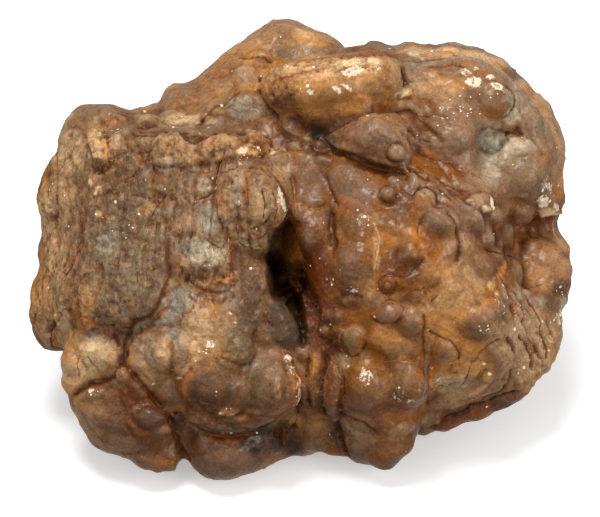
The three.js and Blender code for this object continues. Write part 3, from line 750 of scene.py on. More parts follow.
# lines on the face: colour, width and depth in millimetres, and places in the front view
lines = [
    # under and beside the block
    ("redBrown", 0.30, 0.5, [(166, 218), (168, 240), (166, 262), (168, 278), (163, 295)]),
    ("redBrown", 0.35, 0.8, [(163, 295), (156, 308), (146, 318), (134, 323), (128, 336), (124, 348),
                             (122, 360)]),
    ("nearBlack", 0.45, 0.9, [(127, 352), (122, 358), (118, 366)]),
    ("redBrown", 0.30, 1.0, [(120, 364), (112, 376), (100, 383), (88, 385), (76, 394)]),
    ("redBrown", 0.35, 1.1, [(122, 362), (128, 370), (138, 380), (148, 392), (162, 408), (172, 424),
                             (178, 446), (186, 463)]),
    ("darkAmber", 0.35, 0.6, [(58, 354), (54, 344), (50, 334), (52, 322)]),
    ("amber", 0.30, 0.3, [(60, 352), (56, 340), (52, 330)]),
    ("redBrown", 0.25, 0.5, [(118, 346), (114, 338), (112, 328)]),
    ("redBrown", 0.30, 0.9, [(176, 414), (190, 424), (204, 434), (218, 436), (232, 437), (248, 434)]),
    ("rust", 0.22, 0.4, [(184, 404), (180, 392), (182, 378), (190, 370)]),
    ("darkGrey", 0.20, 0.3, [(255, 346), (255, 336)]),
    ("redBrown", 0.22, 0.4, [(196, 402), (206, 412), (222, 416), (240, 414)]),
    ("redBrown", 0.25, 0.5, [(130, 408), (138, 404), (156, 408), (170, 420), (176, 436), (170, 446)]),
    ("redBrown", 0.20, 0.4, [(120, 400), (126, 412), (126, 426), (134, 436)]),
    ("darkAmber", 0.20, 0.3, [(138, 413), (144, 407), (158, 410), (168, 420)]),
    ("amber", 0.25, 0.3, [(122, 452), (140, 452), (158, 456), (176, 460)]),
    ("darkGrey", 0.20, 0.4, [(222, 358), (236, 364), (248, 366), (256, 356)]),
    ("rust", 0.16, 0.2, [(190, 400), (204, 404), (214, 408)]),
    # around the pit and the columns
    ("cream", 0.28, -0.3, [(286, 358), (291, 368), (296, 382), (295, 394), (297, 404)]),
    ("nearBlack", 0.30, 0.9, [(300, 384), (298, 398), (299, 412), (294, 430)]),
    ("redBrown", 0.30, 0.8, [(327, 358), (325, 372), (324, 396), (327, 414)]),
    ("redBrown", 0.25, 0.6, [(309, 356), (308, 378), (310, 402)]),
    ("orange", 0.18, 0.0, [(326, 372), (330, 362), (337, 366), (341, 378), (341, 390)]),
    ("orange", 0.20, 0.0, [(314, 358), (313, 372), (315, 386)]),
    ("rust", 0.25, 0.2, [(297, 377), (306, 378), (316, 380)]),
    ("redBrown", 0.30, 0.7, [(342, 380), (341, 396), (338, 408)]),
    ("redBrown", 0.40, 0.6, [(340, 412), (352, 418), (364, 424), (374, 432)]),
    ("redBrown", 0.30, 0.5, [(322, 338), (332, 344), (338, 352)]),
    ("nearBlack", 0.35, 0.8, [(336, 424), (342, 440), (352, 452)]),
    # amber body
    ("nearBlack", 0.16, 0.35, [(382, 277), (388, 274), (396, 276), (404, 277), (411, 276), (416, 270),
                               (424, 260)]),
    ("tan", 0.30, -0.3, [(376, 228), (378, 240), (377, 254), (374, 268)]),
    ("redBrown", 0.22, 0.35, [(423, 316), (424, 336), (424, 352), (426, 372), (427, 396)]),
    ("darkAmber", 0.25, 0.6, [(431, 366), (431, 380), (430, 392), (429, 404)]),
    ("darkAmber", 0.18, 0.4, [(432, 390), (444, 389), (456, 385)]),
    ("redBrown", 0.20, 0.6, [(448, 213), (454, 222), (458, 236), (460, 250), (459, 261)]),
    ("darkAmber", 0.14, 0.3, [(423, 215), (419, 224), (418, 231)]),
    ("darkAmber", 0.80, 0.9, [(330, 216), (331, 230), (333, 246)]),
    ("redBrown", 0.16, 0.5, [(322, 172), (328, 184), (332, 194), (336, 206)]),
    ("amber", 0.35, 0.7, [(292, 176), (295, 192), (296, 208), (297, 226), (296, 240)]),
    ("amber", 0.30, 0.5, [(297, 198), (304, 204), (313, 208), (322, 206)]),
    ("darkAmber", 0.35, 0.6, [(266, 166), (276, 176), (284, 188), (289, 202), (290, 216)]),
    ("nearBlack", 0.14, 0.3, [(437, 296), (433, 301), (431, 306)]),
    ("darkAmber", 0.30, 0.4, [(342, 296), (352, 294), (362, 298)]),
    ("darkAmber", 0.22, 0.4, [(431, 333), (440, 337), (450, 340), (457, 348), (460, 360)]),
    ("darkAmber", 0.14, 0.3, [(452, 366), (449, 370), (452, 374), (456, 373)]),
    ("orange", 0.18, 0.3, [(479, 377), (482, 371), (489, 370)]),
    ("tan", 0.20, -0.2, [(340, 352), (339, 338), (344, 329), (354, 326), (362, 331)]),
    ("redBrown", 0.18, 0.4, [(376, 320), (384, 323), (394, 322), (400, 318)]),
    ("rust", 0.16, 0.2, [(380, 308), (388, 303), (398, 302), (406, 308), (416, 308), (422, 316)]),
    ("tan", 0.20, -0.2, [(386, 362), (400, 361), (414, 363)]),
    ("darkAmber", 0.20, 0.3, [(472, 362), (468, 374), (462, 386)]),
    ("darkAmber", 0.18, 0.3, [(500, 340), (490, 346), (480, 354), (474, 362)]),
    # right flank
    ("paleMauve", 0.28, -0.4, [(510, 340), (514, 352), (511, 364), (506, 376), (500, 388), (480, 397),
                               (458, 404), (436, 416)]),
    ("redBrown", 0.25, 0.6, [(508, 340), (514, 350), (514, 362), (508, 376), (500, 392), (484, 400)]),
    ("redBrown", 0.22, 0.6, [(520, 336), (526, 344), (530, 354), (528, 366)]),
    ("redBrown", 0.22, 0.4, [(534, 346), (538, 358), (534, 372), (524, 384)]),
    ("tan", 0.22, -0.3, [(496, 300), (498, 312), (496, 328), (502, 338)]),
    ("redBrown", 0.25, 0.6, [(497, 272), (505, 288), (512, 302), (514, 316)]),
    ("redBrown", 0.20, 0.5, [(508, 286), (518, 296), (524, 312), (524, 326)]),
    ("cream", 0.16, -0.2, [(522, 300), (524, 314), (523, 330)]),
    ("nearBlack", 0.25, 0.6, [(486, 249), (494, 252), (502, 258)]),
    ("nearBlack", 0.25, 0.5, [(508, 256), (516, 258), (521, 264)]),
    ("darkAmber", 0.30, 0.6, [(494, 228), (497, 238), (500, 248)]),
    ("nearBlack", 0.35, 0.9, [(432, 426), (450, 416), (470, 407), (492, 400), (512, 388)]),
    ("rust", 0.22, 0.3, [(430, 424), (446, 424), (470, 418), (492, 408)]),
    ("cream", 0.25, -0.1, [(556, 220), (560, 230), (562, 240)]),
    ("rust", 0.30, 0.3, [(512, 300), (520, 318), (528, 336), (534, 354), (530, 374)]),
    ("redBrown", 0.30, 0.4, [(524, 290), (534, 308), (540, 328), (544, 348), (538, 366), (526, 382)]),
    ("tan", 0.25, -0.3, [(518, 296), (527, 314), (534, 334), (538, 352), (532, 370), (520, 386)]),
    ("rust", 0.25, 0.3, [(536, 300), (546, 318), (551, 338), (548, 356), (540, 372)]),
    # ridged slope, upper right
    ("redBrown", 0.25, 0.6, [(411, 168), (424, 177), (440, 188), (454, 202)]),
    ("redBrown", 0.20, 0.5, [(424, 172), (442, 184), (458, 194), (470, 206)]),
    ("redBrown", 0.20, 0.4, [(436, 176), (452, 186), (464, 190)]),
    ("redBrown", 0.22, 0.4, [(418, 152), (436, 160), (450, 162), (460, 170)]),
    ("redBrown", 0.18, 0.3, [(408, 128), (418, 138), (428, 142)]),
    ("redBrown", 0.18, 0.4, [(416, 116), (426, 124), (434, 134)]),
    ("darkAmber", 0.20, 0.4, [(405, 110), (416, 116), (426, 116)]),
    ("redBrown", 0.35, 0.6, [(430, 67), (438, 64), (446, 63), (454, 61), (462, 64)]),
    ("redBrown", 0.22, 0.4, [(410, 62), (424, 58), (440, 56), (456, 52)]),
    ("rust", 0.20, 0.2, [(416, 98), (426, 100), (434, 104)]),
    ("tan", 0.16, -0.2, [(400, 164), (412, 172), (416, 184)]),
    # long lobe, wedge, knolls
    ("redBrown", 0.40, 0.8, [(262, 78), (259, 92), (266, 106), (276, 116)]),
    ("tan", 0.25, 0.15, [(268, 72), (290, 66), (320, 62), (350, 58), (388, 56)]),
    ("rust", 0.22, 0.15, [(274, 82), (290, 75), (304, 71), (322, 70)]),
    ("darkAmber", 0.3, 0.5, [(398, 112), (408, 110), (416, 114)]),
    # the dark amber line under the wedge is a painted shadow, also cut as a groove
    ("darkAmber", 0.4, 0.7, [(334, 150), (348, 156), (364, 164), (384, 170), (404, 172)]),
    ("redBrown", 0.25, 0.3, [(338, 152), (352, 154), (362, 160)]),
    ("redBrown", 0.30, 0.6, [(228, 60), (246, 57), (262, 58), (272, 62)]),
    ("redBrown", 0.35, 0.6, [(200, 122), (210, 112), (224, 104), (234, 96)]),
    ("tan", 0.16, -0.2, [(326, 138), (344, 128), (360, 122), (374, 117)]),
    ("redBrown", 0.40, 0.8, [(200, 140), (222, 134), (246, 133)]),
    ("redBrown", 0.25, 0.5, [(134, 134), (152, 133), (166, 134), (182, 133), (200, 136)]),
    # fine cracks and rust on the knob and the block
    ("nearBlack", 0.13, 0.3, [(224, 154), (220, 168), (214, 180), (216, 188), (208, 196), (200, 198)]),
    ("nearBlack", 0.13, 0.3, [(232, 221), (246, 229), (256, 227), (264, 222), (270, 212)]),
    ("rust", 0.20, 0.3, [(247, 174), (246, 190), (248, 206)]),
    ("nearBlack", 0.13, 0.3, [(262, 194), (264, 206), (262, 217)]),
    ("nearBlack", 0.13, 0.3, [(271, 194), (274, 206), (272, 216)]),
    ("redBrown", 0.20, 0.4, [(240, 206), (241, 216), (238, 227)]),
    ("rust", 0.18, 0.3, [(244, 226), (243, 238), (244, 247)]),
    ("redBrown", 0.20, 0.4, [(250, 221), (251, 234), (249, 247)]),
    ("redBrown", 0.18, 0.35, [(258, 229), (258, 240), (260, 249)]),
    ("redBrown", 0.18, 0.35, [(268, 225), (267, 238), (268, 247)]),
    ("orange", 0.22, 0.2, [(216, 180), (214, 188)]),
    ("orange", 0.22, 0.2, [(220, 198), (217, 208), (220, 216)]),
    ("orange", 0.28, 0.3, [(231, 230), (229, 240), (228, 256), (226, 264)]),
    ("nearBlack", 0.13, 0.3, [(207, 240), (216, 246), (226, 250), (232, 246)]),
    ("redBrown", 0.20, 0.4, [(234, 250), (232, 262), (234, 272)]),
    ("orange", 0.28, 0.2, [(218, 280), (228, 278)]),
    ("orange", 0.28, 0.2, [(212, 302), (213, 310), (214, 317)]),
    ("rust", 0.22, 0.3, [(210, 290), (208, 300), (214, 304)]),
    ("redBrown", 0.30, 0.6, [(190, 280), (200, 288), (212, 292), (224, 292)]),
    ("orange", 0.20, 0.1, [(212, 137), (224, 136), (240, 138)]),
    ("rust", 0.22, 0.3, [(198, 148), (199, 156), (197, 164)]),
    ("rust", 0.22, 0.3, [(52, 218), (56, 232), (57, 246)]),
    ("rust", 0.28, 0.4, [(80, 214), (82, 228), (79, 242), (76, 252), (70, 262)]),
    ("nearBlack", 0.22, 0.6, [(78, 250), (72, 264), (64, 276)]),
    ("rust", 0.22, 0.3, [(66, 268), (72, 258), (76, 250)]),
    ("rust", 0.20, 0.2, [(96, 300), (99, 290), (100, 282)]),
    ("rust", 0.20, 0.2, [(76, 292), (72, 298), (70, 304)]),
    ("rust", 0.28, 0.3, [(62, 311), (72, 312), (80, 316), (88, 322)]),
    ("rust", 0.25, 0.3, [(72, 322), (82, 318), (92, 320), (98, 324)]),
    ("rust", 0.20, 0.2, [(52, 290), (53, 304), (52, 318)]),
    ("rust", 0.20, 0.2, [(50, 262), (52, 274), (50, 286)]),
    ("orange", 0.25, 0.1, [(44, 262), (43, 276), (45, 292)]),
    ("rust", 0.20, 0.3, [(148, 172), (150, 182), (154, 194)]),
    ("rust", 0.20, 0.3, [(118, 184), (126, 180), (134, 178)]),
    ("rust", 0.20, 0.2, [(136, 172), (141, 168)]),
    ("redBrown", 0.25, 0.5, [(152, 150), (153, 162), (154, 172)]),
    ("redBrown", 0.20, 0.3, [(142, 152), (144, 160)]),
    ("rust", 0.22, 0.2, [(112, 158), (118, 154), (124, 158)]),
    ("rust", 0.25, 0.2, [(112, 130), (122, 126), (130, 120), (128, 114)]),
    ("rust", 0.20, 0.2, [(100, 134), (106, 128), (112, 118)]),
    ("orange", 0.40, 0.3, [(105, 140), (107, 150), (108, 160)]),
    ("olive", 0.28, 0.2, [(102, 190), (104, 200), (106, 206)]),
    ("nearBlack", 0.16, 0.3, [(166, 196), (158, 206), (154, 214)]),
    ("rust", 0.22, 0.3, [(170, 300), (166, 310), (156, 318), (146, 322)]),
    ("rust", 0.20, 0.2, [(166, 290), (163, 282), (168, 276)]),
    ("rust", 0.20, 0.3, [(182, 282), (184, 274), (180, 266)]),
    ("rust", 0.18, 0.2, [(178, 264), (182, 256)]),
    ("darkAmber", 0.18, 0.2, [(88, 357), (92, 364), (96, 368)]),
    ("rust", 0.18, 0.1, [(80, 358), (79, 366), (80, 374)]),
    ("orange", 0.30, 0.2, [(94, 383), (104, 381), (112, 376)]),
    ("rust", 0.18, 0.2, [(172, 336), (173, 346)]),
    ("rust", 0.16, 0.1, [(132, 340), (142, 334), (154, 328), (168, 326)]),
]

# rings round small domes: colour, width, depth, x, y, half width, half height, from and to in degrees
rings = [
    ("nearBlack", 0.20, 0.35, 425, 199, 12, 12, -150, 20),
    ("redBrown", 0.20, 0.35, 387, 285, 9.5, 9.5, -180, 180),
    ("redBrown", 0.16, 0.25, 387, 286, 4.5, 4.5, -180, 180),
    ("darkAmber", 0.12, 0.15, 418, 298, 9, 8, -130, 10),
    ("darkAmber", 0.15, 0.25, 395, 152, 8.5, 9, 60, 300),
    # the dark amber arc round the right and lower side of the dome at 388, 195 is its painted shadow
    ("darkAmber", 0.25, 0.40, 388, 195, 8.5, 8.5, -20, 150),
    ("tan", 0.16, -0.15, 523, 215, 11, 11, -170, -60),
    ("redBrown", 0.20, 0.40, 497, 101, 19, 17, -60, 60),
    ("darkAmber", 0.16, 0.25, 352, 341, 14, 15, 20, 160),
    ("tan", 0.16, -0.15, 252, 138, 9, 8, -180, 20),
]


def ringLine(x, y, wide, high, start, end):
    turns = [math.radians(start + (end - start) * i / 14) for i in range(15)]
    return [(x + wide * math.cos(t), y + high * math.sin(t)) for t in turns]


def lineRelief():
    # cuts or raises the lines, and keeps for each point the signed distance to the nearest one,
    # in widths of that line, and its colour's place in the palette
    depth = np.zeros(len(points))
    side = np.full(len(points), 9.0)
    tone = np.zeros(len(points), int)
    names = list(colours)
    wander = np.stack([layered(points, 2.2, 900 + i, 2) for i in range(3)], 1)
    wandered = points + wander * relief["lineWander"]
    margin = relief["lineReach"]
    circles = [ring[:3] + (ringLine(*ring[3:]),) for ring in rings]
    for name, width, deep, places in lines + circles:
        width *= relief["lineWidth"]
        spots = np.array([onSkin(x, y) for x, y in places])
        low, up = np.searchsorted(sortedX, (spots[:, 0].min() - margin, spots[:, 0].max() + margin))
        near = pointsByX[low:up]
        rises = spots @ upFace
        near = near[np.abs(points[near] @ upFace - rises.mean()) < np.ptp(rises) / 2 + margin]
        best = np.full(len(near), 1e9)
        signed = np.zeros(len(near))
        for a, b in zip(spots, spots[1:]):
            span = b - a
            along = np.clip(((wandered[near] - a) @ span) / (span @ span), 0, 1)
            gap = wandered[near] - a - along[:, None] * span
            gone = np.linalg.norm(gap, axis=1)
            beside = np.cross(span, outOfFace)
            take = gone < best
            best[take] = gone[take]
            signed[take] = (gone * np.sign(gap @ beside))[take]
        cut = deep * np.exp(-((best / (width + relief["lineFoot"])) ** 2))
        depth[near] = np.where(np.abs(cut) > np.abs(depth[near]), cut, depth[near])
        take = np.abs(signed / width) < np.abs(side[near])
        side[near[take]] = signed[take] / width
        tone[near[take]] = names.index(name)
    return depth, side, tone


# zones of the face: soft-edged ellipses, x, y, half width, half height, turn in degrees
zones = {
    "fibres": [(120, 225, 60, 85, 8), (105, 270, 58, 62, 8), (190, 190, 60, 45, 0), (203, 262, 38, 48, 0),
               (56, 240, 26, 110, 8), (150, 160, 85, 26, 0)],
    "rough": [(120, 205, 66, 82, 8), (190, 165, 84, 34, 0), (252, 236, 32, 16, 0), (210, 282, 34, 20, 0),
              (90, 290, 46, 50, 8), (250, 148, 34, 14, 0), (95, 150, 36, 34, 0), (50, 250, 24, 110, 5),
              (282, 84, 24, 30, 0), (335, 64, 66, 9, -3)],
    "matt": [(256, 206, 34, 40, 0), (190, 340, 64, 40, 0), (325, 335, 18, 24, 0), (310, 68, 60, 12, 0),
             (160, 118, 50, 14, 0), (320, 385, 14, 34, 0), (210, 422, 34, 12, 10), (252, 296, 18, 44, 0),
             (245, 112, 26, 20, 0)],
    "column": [(252, 296, 15, 42, 0), (270, 388, 10, 26, 0)],
    "ribs": [(526, 350, 36, 56, -20)],
    "streaks": [(438, 184, 36, 24, 35), (424, 130, 24, 30, 20)],
}

# how the block's fibres run: upright at the top, swept to the left lower down
fibreRun = {
    "pixel": 0.184,  # millimetres that one pixel covers on the block
    "sweep": 0.0022,
    "straightAt": 195,
    "turnsAt": 150,
    "long": 6.0,  # how many times longer than wide
    "deep": 3.0,
}


def zone(name):
    share = np.zeros(len(points))
    fray = 0.3 * layered(points, 3.2, 40, 3)
    for x, y, wide, high, turn in zones[name]:
        near, reach = reachFrom(x, y, wide, high, turn, 1.8, 0.2)
        share[near] = np.maximum(share[near], smooth(1.25, 0.75, reach + fray[near]))
    return share * onFront


def alongFibres():
    # coordinates across, along and into the fibres
    bend = fibreRun["sweep"] * (viewY - fibreRun["straightAt"]) ** 2 * np.sign(viewY - fibreRun["turnsAt"])
    acrossFibre = (viewX + bend) * fibreRun["pixel"]
    alongFibre = viewY * fibreRun["pixel"] / fibreRun["long"]
    return np.stack([acrossFibre, alongFibre, points @ outOfFace / fibreRun["deep"]], 1)


def grainRelief():
    height = -fibreZone * relief["fibres"] * ridged(alongFibres(), 1.6, 60, 3) ** 1.5
    height -= zone("column") * relief["column"] * ridged(alongFibres(), 1.3, 64, 2)
    height -= roughZone * relief["crumbs"] * ridged(points * (1.2, 0.8, 0.8), 2.6, 70, 3) ** 2
    fromX, fromY = points[:, 0] - relief["ribCentre"][0], points @ upFace - relief["ribCentre"][1]
    arcs = np.hypot(fromX, fromY * 0.8) + 0.8 * layered(points, 5, 75, 2)
    ribs = np.sin(arcs * relief["ribWaves"]) * 0.7 + layered(points, 1.2, 77, 2)
    height += zone("ribs") * relief["ribs"] * ribs
    slantX, slantY = relief["streakSlant"]
    slant = points[:, 0] * slantX + points @ upFace * slantY + 0.9 * layered(points, 4, 80, 2)
    narrow, broad = relief["streakWaves"]
    streaks = np.sin(slant * narrow) * 0.6 + 0.5 * np.sin(slant * broad)
    height += zone("streaks") * relief["streaks"] * streaks
    height += relief["swell"] * layered(points, 7.0, 84, 2)
    height += relief["wear"] * layered(points, 2.4, 85, 3)
    height -= relief["pebbles"] * (1 - roughZone) * ridged(points, 3.4, 95, 3) ** 2
    height += relief["farWear"] * smooth(0.15, 0.6, -(normals @ outOfFace)) * layered(points, 3.4, 87, 3)
    pits = smooth(0.25, 0.6, layered(points, 1.3, 90, 2))
    return height - relief["pits"] * pits * (0.12 + 0.88 * roughZone)


fibreZone = zone("fibres")
roughZone = zone("rough")
dullZone = np.maximum(np.maximum(fibreZone, roughZone), 0.7 * zone("matt"))

lineDepth, lineSide, lineTone = lineRelief()
print("lines cut,", len(lines) + len(rings))

# all the relief together; the skin moves along its normals, and in the pit straight back
lumpShare = 1 - relief["fibresFlatten"] * fibreZone
height = lumpHeight * lumpShare * relief["lumps"] - crust["sink"] + plateHeight
height = height + grainRelief() + rimSwells() - lineDepth * onFront
height = np.clip(height * offBreak * (1 - inPit), relief["deepest"], relief["highest"])
moved = points + normals * height[:, None] + outOfFace * (pitWall() - pit["deeper"] * inPit)[:, None]
moved[:, 2] = np.maximum(moved[:, 2], 0)  # nothing below the floor
writePoints(moved)
print("relief from", round(float(height.min()), 2), "to", round(float(height.max()), 2), "mm")

# how far each point lies below its surroundings, near by and further round
fineHollow = spread(height, 5) - height
wideHollow = spread(height, 45) - height

